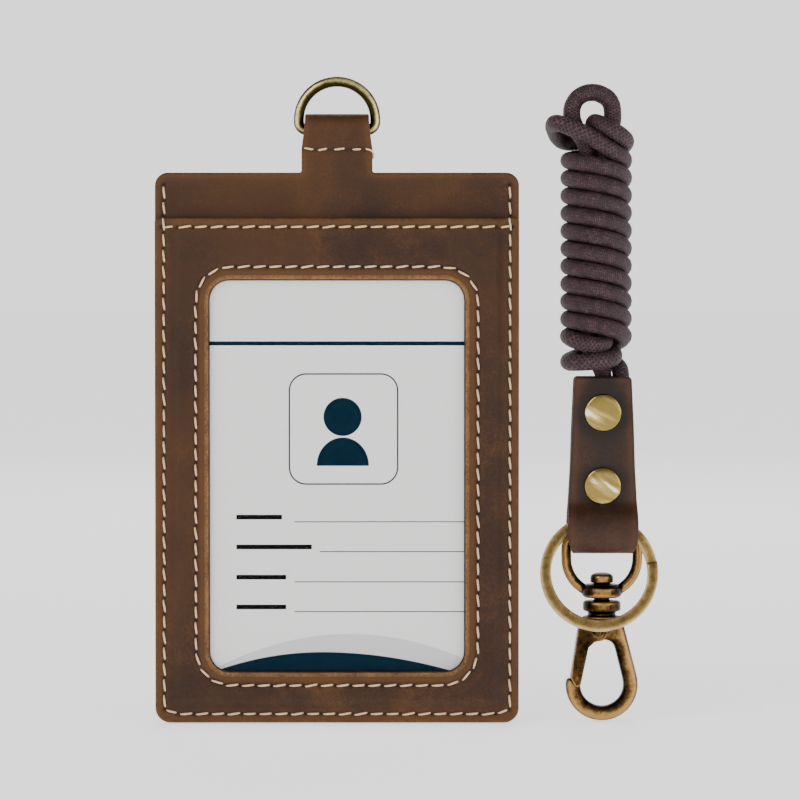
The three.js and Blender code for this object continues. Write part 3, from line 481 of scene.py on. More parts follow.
def leaf(corners, parts, insets, place, seams, paler, hole=None, hole_insets=(), cuts=(), creases=(),
         raw=0.15, thick=LEATHER):
    """A cut leaf of leather: flat loops from its edge inwards on both faces, joined and filled, cut across
    where it bends, then put where place(x, z, depth) says; depth 0 is the outer face. Paler is how far in
    from its edges it is handled pale; creases are heights where a seam presses it in, darkened there with
    painted shade; raw is how pale its outer cut edge is. The walls of a hole lean in a little and are
    darkened with painted shade, as are the needle pits."""
    shape = bmesh.new()
    pulls = shape.verts.layers.float.new("pull")
    cut_marks = shape.verts.layers.float.new("cut")
    painted_shade = shape.verts.layers.float.new("pit")

    def lay(points, depth, handled, cut, dark=0):
        ring = []
        for point in points:
            sunk, near = drawn_in(point.x, point.y, seams) if depth < 0.01 else (0, 0)
            knot = shape.verts.new((point.x, depth + sunk, point.y))
            knot[pulls] = handled
            knot[cut_marks] = cut
            # painted shade: dark in the needle pits and where a hole's wall is darkened
            knot[painted_shade] = max(near, dark)
            ring.append(knot)
        return ring

    rounding = [(EDGE_ROUND * (1 - math.cos(a)), EDGE_ROUND * (1 - math.sin(a)), 1 - 0.45 * a)
                for a in (0, 0.45, 0.9, math.pi / 2)]
    edge_pull = 0.3 + 0.7 * raw
    edge = lambda inset: cut_line(corners, inset, parts)
    border = lambda inset: cut_line(hole, -inset, parts)
    handled = lambda inset: math.exp(-max(0, inset - paler + 0.6) / HANDLED_FADE)
    outer = [lay(edge(inset), sunk, edge_pull, cut * raw) for inset, sunk, cut in rounding]
    outer += [lay(edge(inset), 0, handled(inset), 0) for inset in insets]
    inner = [lay(edge(inset), thick - sunk * INNER_ROUND, edge_pull, cut * raw)
             for inset, sunk, cut in rounding]
    if hole:
        inmost, widest = edge(insets[-1]), border(hole_insets[0])
        mid = [[a.lerp(b, part) for a, b in zip(inmost, widest)] for part in (0.25, 0.5, 0.75)]
        outer += [lay(points, 0, 0, 0) for points in mid]
        outer += [lay(border(inset), 0, handled(inset), 0) for inset in hole_insets]
        outer += [lay(border(inset * HOLE_ROUND), sunk * HOLE_ROUND, 1, cut * 0.9)
                  for inset, sunk, cut in rounding[:0:-1]]
        # the last argument is painted shade on the hole's wall, here and on the inner side below
        outer.append(lay(border(0), EDGE_ROUND * HOLE_ROUND, 1, 0.1, 0.7))
        inner += [lay(points, thick, 0, 0) for points in (inmost, *mid, widest)]
        inner += [lay(border(inset - HOLE_LEAN), thick - sunk * INNER_ROUND, 1, 0, 0.8)
                  for inset, sunk, _ in reversed(rounding)]
    loops = inner[::-1] + outer
    join(shape, loops + loops[:1] if hole else loops)
    if not hole:
        shape.faces.new(outer[-1])
        shape.faces.new(inner[-1])
    bmesh.ops.remove_doubles(shape, verts=shape.verts, dist=1e-4)
    for height in [*cuts, *(crease + 0.25 * k for crease in creases for k in range(-4, 5))]:
        everything = shape.verts[:] + shape.edges[:] + shape.faces[:]
        bmesh.ops.bisect_plane(shape, geom=everything, dist=1e-5, plane_co=(0, 0, height), plane_no=(0, 0, 1))
    for knot in shape.verts:
        for crease in creases:
            press = math.exp(-(((knot.co.z - crease) / CREASE_WIDE) ** 2))
            if knot.co.y < 0.3:
                knot.co.y += SEAM_DEEP * press
                # painted shade in the seam's crease
                knot[painted_shade] = max(knot[painted_shade], CREASE_SHADE * press)
        knot.co = place(knot.co.x, knot.co.z, knot.co.y) * MM
    return mesh_from(shape, closed=True)


def raised(x, z):
    """How far a pocket leaf stands up over its card: 0 at its rim, 1 on the raised field."""
    side = ease((HOLDER_HALF - RIM_WIDTH + 0.5 - abs(x)) / (RISE_RUN + 0.6))
    return side * ease((z - HOLDER_FOOT - RIM_WIDTH + 0.5) / (RISE_RUN + 0.6))


def swell(x, z, amount):
    """The slow unevenness of a cut hide."""
    return amount * noise.noise(Vector((x * 0.06, z * 0.06, 3)))


def edge_seam(in_by, z):
    """The needle holes of the seam along a pocket's upper edge, which starts a little in from its sides."""
    return needle_holes([Vector((in_by - HOLDER_HALF, z)), Vector((HOLDER_HALF - in_by, z))], closed=False)


def front_place(x, z, depth):
    return Vector((x, FRONT_RIM_Y - FRONT_RISE * raised(x, z) + depth + swell(x, z, 0.12), z))


seam_corners = block(HOLDER_HALF, HOLDER_FOOT, HOLDER_TOP - 0.6, FOOT_R, POCKET_TOP_R)
side_seam = needle_holes(cut_line(seam_corners[3:] + seam_corners[:3], STITCH_IN, (340, 240, 340, 1), 10),
                         closed=False)
pocket_seam = edge_seam(STITCH_IN - 0.5, FRONT_EDGE - 1.8)
window_corners = block(WINDOW_HALF, WINDOW_FOOT, WINDOW_HEAD, WINDOW_R, WINDOW_R)
window_seam = needle_holes(cut_line(window_corners, -WINDOW_STITCH, (160, 240, 160, 240), 10))
front_mesh = leaf(
    block(HOLDER_HALF, HOLDER_FOOT, FRONT_EDGE, FOOT_R, POCKET_TOP_R), (250, 350, 250, 350),
    [0.7, 1.1, 1.35, 1.55, 1.75, 1.95, 2.15, 2.35, 2.6, 2.9, 3.3, 3.7, 4.1, 4.5, 4.9, 5.3],
    front_place, [side_seam, pocket_seam, window_seam], 2.2, window_corners,
    [4.6, 3.9, 3.4, 3.1, 2.9, 2.7, 2.5, 2.3, 2, 1.6, 1.2, 0.9], raw=0.3)
front_panel = piece("front_panel_look", front_mesh, "holder", holder_leather)
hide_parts("front_panel")


# The clear film behind the window, held in the pocket by the card: 0.3 mm, glossy, slightly cockled.
def dress(node_name, finish):
    """Gives a finish to a solid that shows as it is."""
    bpy.data.objects[node_name].material_slots[0].material = finish


film_finish, t = new_finish("clear_film", Base_Color=(0.03, 0.03, 0.03, 1), Roughness=0.06, Alpha=0.03,
                            Specular_IOR_Level=0.5)
t.noise(t.place(), 26, 1).emboss(0.15, 0.002)
dress("window_film", film_finish)

# The card in the front pocket: white board with a plain figure in a frame, four ruled fields, a dark rule and
# two low arcs at the foot, all printed in dark teal, black and pale grey.
PRINT_EDGE = 0.04
CARD_FRONT_Y = -3.5
PAST_EDGE = 40
FRAME_X, FRAME_Z, FRAME_HALF_W, FRAME_HALF_H, FRAME_R = 1.4, -73.3, 11.6, 11.8, 3.6
FRAME_LINE = 0.16
HEAD_X, HEAD_Z, HEAD_R = 1.2, -70.7, 4.1
BODY_X, BODY_Z, BODY_HALF_W, BODY_H = 1.25, -81.2, 5.6, 6.1
RULE_FOOT, RULE_HEAD = -55.4, -54.5
LABEL_LEFT = -21.6
FIELDS = [(-9.1, -11.8, -93.2), (-3.75, -5.4, -99.6), (-9.1, -10.9, -106.1), (-9.1, -10.9, -112.5)]
GREY_ARC_X, GREY_ARC_Z, GREY_ARC_FALL = 2.7, -117.3, 0.0089
TEAL_ARC_X, TEAL_ARC_Z, TEAL_FALL_LEFT, TEAL_FALL_LESS = -3.3, -121.2, 0.0078, 0.0026
BLACK = colour("060606")
TEAL = colour("001d2e")
GREY = colour("d9d9d9")
print_finish, t = new_finish("card_print", Roughness=0.6, Specular_IOR_Level=0.03)
place_on_card = t.place()
across = t.part(place_on_card, 0) * 1000
depth_in = t.part(place_on_card, 1) * 1000
height = t.part(place_on_card, 2) * 1000


def span(value, low, high):
    return value.below(high, PRINT_EDGE) * (1 - value.below(low, PRINT_EDGE))


def bar_mark(x0, x1, z0, z1):
    return span(across, x0, x1) * span(height, z0, z1)


def reach(x, z, wide=1, tall=1):
    """Distance from a point, squeezed to make ellipses."""
    dx, dz = (across - x) / wide, (height - z) / tall
    return t.sum("SQRT", dx * dx + dz * dz)


corner_x = t.sum("MAXIMUM", t.sum("ABSOLUTE", across - FRAME_X) - (FRAME_HALF_W - FRAME_R), 0)
corner_z = t.sum("MAXIMUM", t.sum("ABSOLUTE", height - FRAME_Z) - (FRAME_HALF_H - FRAME_R), 0)
from_frame = t.sum("ABSOLUTE", t.sum("SQRT", corner_x * corner_x + corner_z * corner_z) - FRAME_R)
frame_mark = from_frame.below(FRAME_LINE, PRINT_EDGE)
head = reach(HEAD_X, HEAD_Z).below(HEAD_R, PRINT_EDGE)
shoulders = reach(BODY_X, BODY_Z, BODY_HALF_W, BODY_H).below(1, 0.01)
shoulders = shoulders * (1 - height.below(BODY_Z, PRINT_EDGE))
rule = bar_mark(-PAST_EDGE, PAST_EDGE, RULE_FOOT, RULE_HEAD)
fields = 0
for line_left, label_right, line_z in FIELDS:
    fields = bar_mark(line_left, PAST_EDGE, line_z - 0.1, line_z + 0.1) + fields
    fields = bar_mark(LABEL_LEFT, label_right, line_z + 0.5, line_z + 1.5) + fields
from_grey = across - GREY_ARC_X
from_teal = across - TEAL_ARC_X
grey_arc = (height + from_grey * from_grey * GREY_ARC_FALL).below(GREY_ARC_Z, PRINT_EDGE)
fall = TEAL_FALL_LEFT - (1 - from_teal.below(0, 2)) * TEAL_FALL_LESS
teal_arc = (height + from_teal * from_teal * fall).below(TEAL_ARC_Z, PRINT_EDGE)
board = t.noise(place_on_card, 900, 2)
ink = grey_arc.blend(board.blend(colour("f6f6f4"), colour("fbfbfa")), GREY)
for teal_mark in (teal_arc, rule, head, shoulders, frame_mark):
    ink = teal_mark.blend(ink, TEAL)
ink = t.sum("MINIMUM", fields, 1).blend(ink, BLACK)
depth_in.below(CARD_FRONT_Y, 0.05).blend(colour("f3f3f1"), ink).feed("Base Color")
board.emboss(0.1, 0.0001)
dress("id_card", print_finish)

# The middle leaf, cut in one with its tongue: the tongue goes up behind the front leaf, over the ring's bar
# and down the back, where one seam closes it. The closing strap is the same tongue below that seam.
TONGUE_HALF = 7.6
SHARP = 0.02
FOLD_START = HOLDER_TOP - 2
FOLD_MID_R = 1.95
FOLD_Z = -8.45
BACK_BEND_Z = -9.2
BACK_BEND = 2.5
SEAM_Z = -13.4
FRONT_SEAM_Z = -13.35
END_SEAM_IN = 0.34
BEND_STEP = 0.6
MIDDLE_FACE_Y = -2.65
HINGE_Y, HINGE_Z = -0.25, -15.6
STRAP_FLAT_Y, STRAP_FLAT_Z = 4.35, -38.8
STRAP_TIP = -60


def run_of(points):
    """A bent run in y and z: its points, the way square to it at each, and how far along each lies."""
    run = [Vector(p) for p in points]
    sides, reached = [], [0]
    for i, point in enumerate(run):
        way = (run[min(i + 1, len(run) - 1)] - run[max(i - 1, 0)]).normalized()
        sides.append(Vector((-way.y, way.x)))
        if i:
            reached.append(reached[-1] + (point - run[i - 1]).length)
    return run, sides, reached


def on_run(run, s):
    points, sides, reached = run
    i = 0
    while i < len(points) - 2 and reached[i + 1] < s:
        i += 1
    part = (s - reached[i]) / (reached[i + 1] - reached[i])
    return points[i].lerp(points[i + 1], part), sides[i].lerp(sides[i + 1], part).normalized()


fold_run = [(-FOLD_MID_R, FOLD_START), (-FOLD_MID_R, -12)]
fold_run += [(-FOLD_MID_R * math.cos(math.radians(a)), FOLD_Z + FOLD_MID_R * math.sin(math.radians(a)))
             for a in range(0, 181, 10)]
fold_run += [(FOLD_MID_R - BACK_BEND * ease((BACK_BEND_Z - z) / (BACK_BEND_Z - SEAM_Z)), z)
             for z in [FOLD_Z + (SEAM_Z - FOLD_Z) * k / 16 for k in range(1, 17)]]
fold_run = run_of(fold_run)
TONGUE_END = FOLD_START + fold_run[2][-1]


def middle_place(x, z, depth):
    """The leaf is flat; its tongue follows the fold and narrows there, to lie between the ring's sides."""
    if z <= FOLD_START:
        return Vector((x, MIDDLE_FACE_Y + depth + swell(x, z, 0.08), z))
    at, side = on_run(fold_run, z - FOLD_START)
    out = at + side * (LEATHER / 2 - depth - swell(x, z, 0.08) * ease((-9 - z) / 6))
    if out.x < 0:
        half = TONGUE_HALF - 0.55 * clamped((out.y - SEAM_Z) / 4.1) - 0.2 * ease((out.y + 9) / 2)
    else:
        half = TONGUE_HALF - 0.75 * clamped((out.y - SEAM_Z) / 2.2)
    return Vector((x * (half / TONGUE_HALF if abs(x) <= TONGUE_HALF + 0.3 else 1), out.x, out.y))


below_tongue = block(HOLDER_HALF, HOLDER_FOOT, HOLDER_TOP, FOOT_R, 2.8)
tongue = block(TONGUE_HALF, HOLDER_TOP, TONGUE_END, 0.5, SHARP)
middle_corners = below_tongue[:3] + tongue[1:] + tongue[:1] + below_tongue[3:]
bends = [FOLD_START + BEND_STEP * k for k in range(1, int((TONGUE_END - FOLD_START) / BEND_STEP))]
middle_mesh = leaf(middle_corners, (120, 350, 60, 40, 24, 40, 60, 350),
                   [0.7, 1.2, 1.55, 1.75, 1.95, 2.15, 2.35, 2.7, 3.2], middle_place, [side_seam], 1.2,
                   cuts=bends, creases=(FRONT_SEAM_Z, TONGUE_END - END_SEAM_IN))
middle_panel = piece("middle_panel_look", middle_mesh, "holder", holder_leather)
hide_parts("middle_panel")


def strap_y(z):
    """How far back the strap lies: in at the seam, out over the pocket and its stud, in at the tip."""
    if z > HINGE_Z:
        return HINGE_Y - 0.3 * ease((z - HINGE_Z) / 2.2)
    if z > STRAP_FLAT_Z:
        return HINGE_Y + (STRAP_FLAT_Y - HINGE_Y) * ease((HINGE_Z - z) / (HINGE_Z - STRAP_FLAT_Z))
    return STRAP_FLAT_Y - 1.4 * ease((-51 - z) / 12)


strap_run = run_of([(strap_y(z), z) for z in [SEAM_Z + (STRAP_TIP - SEAM_Z) * k / 120 for k in range(121)]])
STRAP_LENGTH = strap_run[2][-1]


def strap_place(x, z, depth):
    at, side = on_run(strap_run, -z)
    out = at + side * (LEATHER / 2 - depth - swell(x, z, 0.1))
    return Vector((x, out.x, out.y))


strap_mesh = leaf(block(TONGUE_HALF, -STRAP_LENGTH, 0, TONGUE_HALF, SHARP), (1, 40, 24, 40),
                  [0.7, 1.1, 1.6, 2.4], strap_place, (), 1, raw=0.4,
                  cuts=[-0.8 * k for k in range(1, int(STRAP_LENGTH / 0.8) + 1)])
strap = piece("strap_look", strap_mesh, None, holder_leather)
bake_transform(strap)
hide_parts("strap_tail")

# The back leaf: a pocket for a second card, its thumb slot cut clean through, stitched like the front.
BACK_EDGE = -34.5
BACK_RIM_Y = 0.15
BACK_RISE = 1.1
SLOT_HALF = 10.9
SLOT_FOOT = -102.7
SLOT_HEAD = -68.4


def back_place(x, z, depth):
    return Vector((x, BACK_RIM_Y + BACK_RISE * raised(x, z) - depth - swell(x, z, 0.12), z))


back_seam = edge_seam(STITCH_IN + 1.2, BACK_EDGE - 2.5)
back_mesh = leaf(
    block(HOLDER_HALF, HOLDER_FOOT, BACK_EDGE, FOOT_R, POCKET_TOP_R), (250, 330, 250, 330),
    [0.7, 1.1, 1.35, 1.55, 1.75, 1.95, 2.15, 2.35, 2.5, 2.7, 3, 3.4, 3.8, 4.2, 4.6, 5.3],
    back_place, [side_seam, back_seam], 2.4, block(SLOT_HALF, SLOT_FOOT, SLOT_HEAD, SLOT_HALF, SLOT_HALF),
    [3, 1.8, 1.2, 0.9], raw=0.3)
back_panel = piece("back_panel_look", back_mesh, "holder", holder_leather)
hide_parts("back_panel")

# The white card in the back pocket, seen through the thumb slot.
plain_finish, t = new_finish("card_white", Specular_IOR_Level=0.45)
grain = t.noise(t.place(), 700, 2)
grain.blend(colour("f2f2f0"), colour("f8f8f7")).feed("Base Color")
(grain * 0.15 + 0.3).feed("Roughness")
dress("access_card", plain_finish)

# The seams: waxed cream thread, two strands twisted together, laid in short slanting stitches whose ends go
# down into the needle holes.
THREAD_R = 0.245
THREAD_FLAT = 0.86
THREAD_TWIST = 2.4
STITCH_LONG = 2.65
STITCH_SEEN = 2.4
STITCH_OVER = 0.14
STITCH_DIP = 0.52
STITCH_ROUNDS = 8
HOLE_WIDE = 1
FRONT_SLANT = math.radians(6.5)
BACK_SLANT = math.radians(2)
thread_finish, t = new_finish("cream_thread", Roughness=0.6, Specular_IOR_Level=0.3)
fuzz = t.noise(t.place(), 2400, 3)
fuzz.blend(colour("c79a6c"), colour("fbe3c2")).feed("Base Color")
fuzz.emboss(0.4, 0.0001)

one_stitch = bmesh.new()
for k in range(STITCH_ROUNDS + 1):
    part = k / STITCH_ROUNDS
    from_middle = 2 * abs(part - 0.5)
    made = bmesh.ops.create_circle(one_stitch, segments=6, radius=THREAD_R * (1 - 0.25 * from_middle ** 3))
    turn = (Matrix.Rotation(part * THREAD_TWIST, 4, "X") @ Matrix.Diagonal((1, THREAD_FLAT, 1, 1))
            @ Matrix.Rotation(math.pi / 2, 4, "Y"))
    at = Matrix.Translation(((part - 0.5) * STITCH_LONG, 0, STITCH_OVER - STITCH_DIP * from_middle ** 4))
    bmesh.ops.transform(one_stitch, verts=made["verts"], matrix=at @ turn)
bmesh.ops.bridge_loops(one_stitch, edges=one_stitch.edges)
bmesh.ops.holes_fill(one_stitch, edges=one_stitch.edges, sides=6)
stitch_mesh = mesh_from(one_stitch, closed=True)


def between(holes, closed=False):
    """Pairs of needle holes that a stitch joins."""
    points = [hole for hole, _ in holes]
    return list(zip(points, points[1:])) + ([(points[-1], points[0])] if closed else [])


def sew(name, pairs, surface, outward, slant, tail=()):
    """One seam as one piece: a stitch for each pair, and a loose thread end if it has a tail. The slant turns
    every stitch a little from its seam, as one looks at it."""
    seam = bmesh.new()
    for i, (a, b) in enumerate(pairs):
        mid, way = (a + b) / 2, (b - a).normalized()
        uneven = noise.noise(Vector((i * 1.7, a.x * 0.1, a.y * 0.1)))
        along = Vector((way.x, 0, way.y))
        normal = Vector((0, outward, 0))
        set_square = Matrix((along, normal.cross(along), normal)).transposed().to_4x4()
        long = ((b - a).length - HOLE_WIDE) / STITCH_SEEN * (1 + 0.08 * uneven)
        start = len(seam.verts)
        seam.from_mesh(stitch_mesh)
        seam.verts.ensure_lookup_table()
        at = Matrix.Translation(Vector((mid.x, surface(mid.x, mid.y), mid.y)))
        turn = Matrix.Rotation(slant * (1 + 1.1 * uneven), 4, "Z")
        stretch = Matrix.Diagonal((long, 1, 1, 1))
        bmesh.ops.transform(seam, verts=seam.verts[start:],
                            matrix=Matrix.Scale(MM, 4) @ at @ set_square @ turn @ stretch)
    if tail:
        loose = bent_line([Vector(point) * MM for point in tail], THREAD_R * 0.85 * MM, 1, 2)
        seam.from_mesh(loose)
        bpy.data.meshes.remove(loose)
    return piece(name, mesh_from(seam), "holder", thread_finish)


def hand_sewn(dashes):
    """Pairs of needle holes from the seen ends of each stitch, as x and z, x and z."""
    pairs = []
    for x0, z0, x1, z1 in dashes:
        reach_out = Vector((x1 - x0, z1 - z0)).normalized() * HOLE_WIDE / 2
        pairs.append((Vector((x0, z0)) - reach_out, Vector((x1, z1)) + reach_out))
    return pairs


def front_stitch_y(x, z):
    return front_place(x, z, 0).y if z < FRONT_EDGE - 0.4 else middle_place(x, z, 0).y


def back_stitch_y(x, z):
    return back_place(x, z, 0).y if z < BACK_EDGE - 0.4 else middle_place(x, z, LEATHER).y


sew("front_side_stitches", between(side_seam), front_stitch_y, -1, FRONT_SLANT)
sew("front_edge_stitches", between(pocket_seam), front_stitch_y, -1, FRONT_SLANT)
sew("window_stitches", between(window_seam, closed=True), front_stitch_y, -1, FRONT_SLANT)
sew("back_side_stitches", between(side_seam), back_stitch_y, 1, BACK_SLANT)
sew("back_edge_stitches", between(back_seam), back_stitch_y, 1, BACK_SLANT)
sew("tongue_stitches",
    hand_sewn([(-7.15, -13.1, -4.9, -13.5), (-4.3, -13.7, -1.9, -13.2), (-0.8, -13.5, 1.9, -13.2),
               (3.2, -13.45, 5.3, -13.4), (6.1, -13.3, 7.3, -13.6)]),
    lambda x, z: MIDDLE_FACE_Y + 0.25, -1, 0,
    [(6.9, -2.5, -13.5), (7.45, -2.5, -13.75), (7.8, -2.1, -14.3), (7.8, -1.7, -14.9), (7.75, -1.5, -15.4)])
sew("strap_stitches",
    hand_sewn([(7.5, -13.2, 6.8, -13), (5.6, -13.05, 3.5, -13.05), (2.3, -13, -0.7, -13.1),
               (-1.4, -13.05, -4, -13), (-5, -12.8, -7, -12.7)]),
    lambda x, z: 0.3, 1, 0,
    [(-3.6, 0.35, -12.95), (-4.1, 0.6, -13.1), (-4.6, 0.62, -13.5), (-5, 0.55, -13.85)])

# The ring at the head: brass wire bent to a D and butted in the bow, aged, with a painted highlight along
# the wire where it faces forward or back and outward, and painted shade on the rest of it.
WIRE_R = 1.1
BOW_R = 8.2
BOW_Z = -7.1
SIDE_FOOT = -7.5
D_CORNER_R = 1.8
BUTT_AT = 97
BUTT_HALF = 0.02


def aged_metal(name, deep, middle, bright, shine, drawn=(1, 1, 1), rough=1):
    """Old metal: dark where it isn't touched, bright where it rubs, and brighter or darker by its kept mark,
    which holds wear and, on some pieces, painted highlight and shade. Drawn stretches its marks along one
    way;
    rough says how strong they are."""
    finish, t = new_finish(name, Metallic=1)
    at = t.node("ShaderNodeMapping", {"Vector": t.place(), "Scale": drawn})
    cloud = t.noise(at, 240, 4, 0.65)
    scratch = t.noise(at, 1300, 4, 0.7)
    pit = t.noise(at, 2600, 2)
    # the kept mark brightens or darkens the metal: rubbed wear, and on the ring, hook and eye also a painted
    # highlight where they face forward or back, with painted shade elsewhere
    brightness = (cloud * 0.62 + scratch * 0.38 - 0.5) * rough + 0.5 + t.mark("wear_and_painted_light") * 0.5
    t.ramp(brightness, (0.34, deep), (0.52, middle), (0.74, bright)).feed("Base Color")
    (shine + 0.24 * (scratch - 0.4) + 0.1 * cloud).feed("Roughness")
    (scratch * 0.6 + pit * 0.4).emboss(0.22 * rough, 0.0001)
    return finish


def facing(knot, x, z):
    """How much a point of a loop of metal faces forward or back, and away from the loop's middle; a highlight
    is painted there.
    """
    away = Vector((knot.co.x - x * MM, 0, knot.co.z - z * MM)).normalized()
    return max(0, 0.9 * abs(knot.normal.y) + 0.42 * knot.normal.dot(away))


def arcs(*bends):
    """Points along arcs, each with its centre, radius, first and last angle in degrees, and steps."""
    points = []
    for cx, cz, r, start, end, count in bends:
        for k in range(count + 1):
            angle = math.radians(start + (end - start) * k / count)
            points.append((cx + r * math.cos(angle), cz + r * math.sin(angle)))
    return points


antique_brass = aged_metal("antique_brass", "29240f", "7c6f3f", "e0d29a", 0.26, rough=0.8)
ring_line = arcs((0, BOW_Z, BOW_R, BUTT_AT + BUTT_HALF, 180, 48),
                 (-BOW_R + D_CORNER_R, SIDE_FOOT, D_CORNER_R, 180, 270, 14),
                 (BOW_R - D_CORNER_R, SIDE_FOOT, D_CORNER_R, 270, 360, 14),
                 (0, BOW_Z, BOW_R, 0, BUTT_AT - BUTT_HALF, 54))
ring_mesh = bent_line([Vector((x, 0, z)) * MM for x, z in ring_line], WIRE_R * MM, 7, 1)
# painted highlight and shade: a narrow bright band where the wire faces forward or back and outward from the
# bow's middle, darker everywhere else
marks = ring_mesh.attributes.new("wear_and_painted_light", "FLOAT", "POINT")
for knot, mark in zip(ring_mesh.vertices, marks.data):
    mark.value = 1.15 * facing(knot, 0, BOW_Z) ** 8 - 0.55
d_ring = piece("d_ring_look", ring_mesh, "ring", antique_brass)
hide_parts("d_ring")

# The press stud: a domed brass cap riveted through the strap to its socket, and a stud with a bulbed neck
# riveted through the back leaf from a flat post inside the pocket.
SNAP_Z = -44.9
SNAP_CAP_R = 5.6
SNAP_SHANK_R = 1.2
STRAP_OUT_Y = 5.05
STRAP_IN_Y = 3.65
ROUND_STEPS = 72


def turned(profile, x, z):
    """A turned piece about an axis along y, from radius and y pairs that end on the axis or meet."""
    shape = bmesh.new()
    knots = [shape.verts.new((r, depth, 0)) for r, depth in profile]
    for a, b in zip(knots, knots[1:]):
        shape.edges.new((a, b))
    bmesh.ops.spin(shape, geom=shape.verts[:] + shape.edges[:], cent=(0, 0, 0), axis=(0, 1, 0),
                   angle=2 * math.pi, steps=ROUND_STEPS, use_merge=True)
    bmesh.ops.remove_doubles(shape, verts=shape.verts, dist=1e-4)
    bmesh.ops.transform(shape, verts=shape.verts, matrix=Matrix.Scale(MM, 4) @ Matrix.Translation((x, 0, z)))
    return mesh_from(shape, closed=True)


def dome(radius, base, rise, sign, lip=0.3):
    """Profile of a domed head from its rim to its crown, with a rolled lip; sign is the way it stands."""
    rim = [(radius - 0.3, base), (radius - 0.06, base + sign * lip * 0.35), (radius, base + sign * lip),
           (radius - 0.08, base + sign * lip * 1.6)]
    crown = [(radius * math.cos(math.radians(a)) * 0.97,
              base + sign * (lip * 1.7 + (rise - lip * 1.7) * math.sin(math.radians(a))))
             for a in range(10, 90, 8)]
    return rim + crown + [(0, base + sign * rise)]


cap_profile = [(0, STRAP_IN_Y - 0.3), (SNAP_SHANK_R, STRAP_IN_Y - 0.3), (SNAP_SHANK_R, STRAP_OUT_Y),
               *dome(SNAP_CAP_R, STRAP_OUT_Y, 1.9, 1)]
snap_brass = aged_metal("snap_brass", "4a4020", "94854a", "cfc48b", 0.16, (1, 1, 0.3), 0.6)
snap_cap = piece("snap_cap_look", turned(cap_profile, 0, SNAP_Z), "strap", snap_brass)
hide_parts("snap_cap")
for node_name in ("snap_socket", "snap_stud", "snap_stud_post"):
    dress(node_name, antique_brass)

# The lanyard's tab: one strip of thick dark hide folded round the eye, closed on both ends of the cord by two
# rivets; it is burnished dark at the head and round the rivets.
LANYARD_X = 57
TAB_THICK = 1.8
TAB_HALF = 7
TAB_CORNER_R = 0.9
TAB_NOTCH_HALF = 5.3
UPPER_RIVET_Z = -7.7
LOWER_RIVET_Z = -23.5
tab_turns = [(-2.7, 0), (-2.7, -4), (-2.7, -8), (-2.7, -12), (-2.1, -15.6), (-1.5, -19.2), (-1.5, -23.5),
             (-1.55, -27.2), (-2.7, -28.79), (-4.44, -30.3), (-5.1, -32.2)]
tab_turns += arcs((-2.1, -34, 3.1, 180, 270, 6), (1.3, -34, 3.1, 270, 360, 6))
tab_turns += [(4.3, -32.2), (3.75, -30.4), (2.5, -28.9), (1.55, -27.2), (1.5, -23.5), (1.5, -19.2),
              (2.1, -15.6), (2.7, -12), (2.7, -8), (2.7, -4), (2.7, 0)]
tab_line = bent_line([Vector((0, y, z)) for y, z in tab_turns], between=6)
tab_run = run_of([(knot.co.y, knot.co.z) for knot in tab_line.vertices])
bpy.data.meshes.remove(tab_line)
TAB_LONG = tab_run[2][-1]
TAB_WIDTHS = [(0, 6.15), (-10, 6.6), (-20, 7), (-29, 7.5), (-33, 7.6), (-35, 7.4), (-36.6, 6.9),
              (-37.4, 6.4), (-38.2, 5.8)]


def tab_half(y, z):
    """Half the tab's width: it widens down to the fold, and is notched in front for the split ring."""
    for (z0, w0), (z1, w1) in zip(TAB_WIDTHS, TAB_WIDTHS[1:]):
        if z >= z1:
            wide = w0 + (w1 - w0) * (z0 - z) / (z0 - z1)
            break
    notch = ease((y + 1.5) / 1) * ease((4 - y) / 0.7) * ease((-34.2 - z) / 1)
    return wide + (TAB_NOTCH_HALF - wide) * notch


def tab_place(x, z, depth):
    at, side = on_run(tab_run, -z)
    out = at - side * (TAB_THICK / 2 - depth - swell(x, z, 0.12))
    return Vector((LANYARD_X + x * tab_half(at.x, at.y) / TAB_HALF, out.x, LANYARD_Z + out.y))


tab_leather = leather("tab_leather", "150c08", "2b190e", "4a2c19", "5d3a20", "361c10", 0.44,
                      [(LANYARD_X, LANYARD_Z + mark_z, mark_r)
                       for mark_z, mark_r in ((UPPER_RIVET_Z, 6.9), (LOWER_RIVET_Z, 6.4), (-1.5, 4.5))])
tab_mesh = leaf(block(TAB_HALF, -TAB_LONG, 0, TAB_CORNER_R, TAB_CORNER_R), (12, 60, 12, 60),
                [0.8, 1.3, 2, 3], tab_place, (), 1.6,
                cuts=[-BEND_STEP * k for k in range(1, int(TAB_LONG / BEND_STEP) + 1)], thick=TAB_THICK)
lanyard_tab = piece("lanyard_tab_look", tab_mesh, "lanyard", tab_leather)
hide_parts("lanyard_tab")

# The two rivets through the tab: domed brass caps in front, flatter post heads behind, brushed across, with
# bright reflection streaks painted into their colour along the brushing.
RIVET_CAP_R = 4
RIVET_POST_R = 3.8
BRUSHED_TURN = math.radians(32)
rivet_finish, t = new_finish("rivet_brass", Metallic=1)
at = t.node("ShaderNodeMapping", {"Vector": t.place(), "Rotation": (0, BRUSHED_TURN, 0),
                                  "Scale": (5, 1, 1)}, vector_type="TEXTURE")
brushing_and_glint = t.noise(at, 560, 1, 0.4, 0.4)
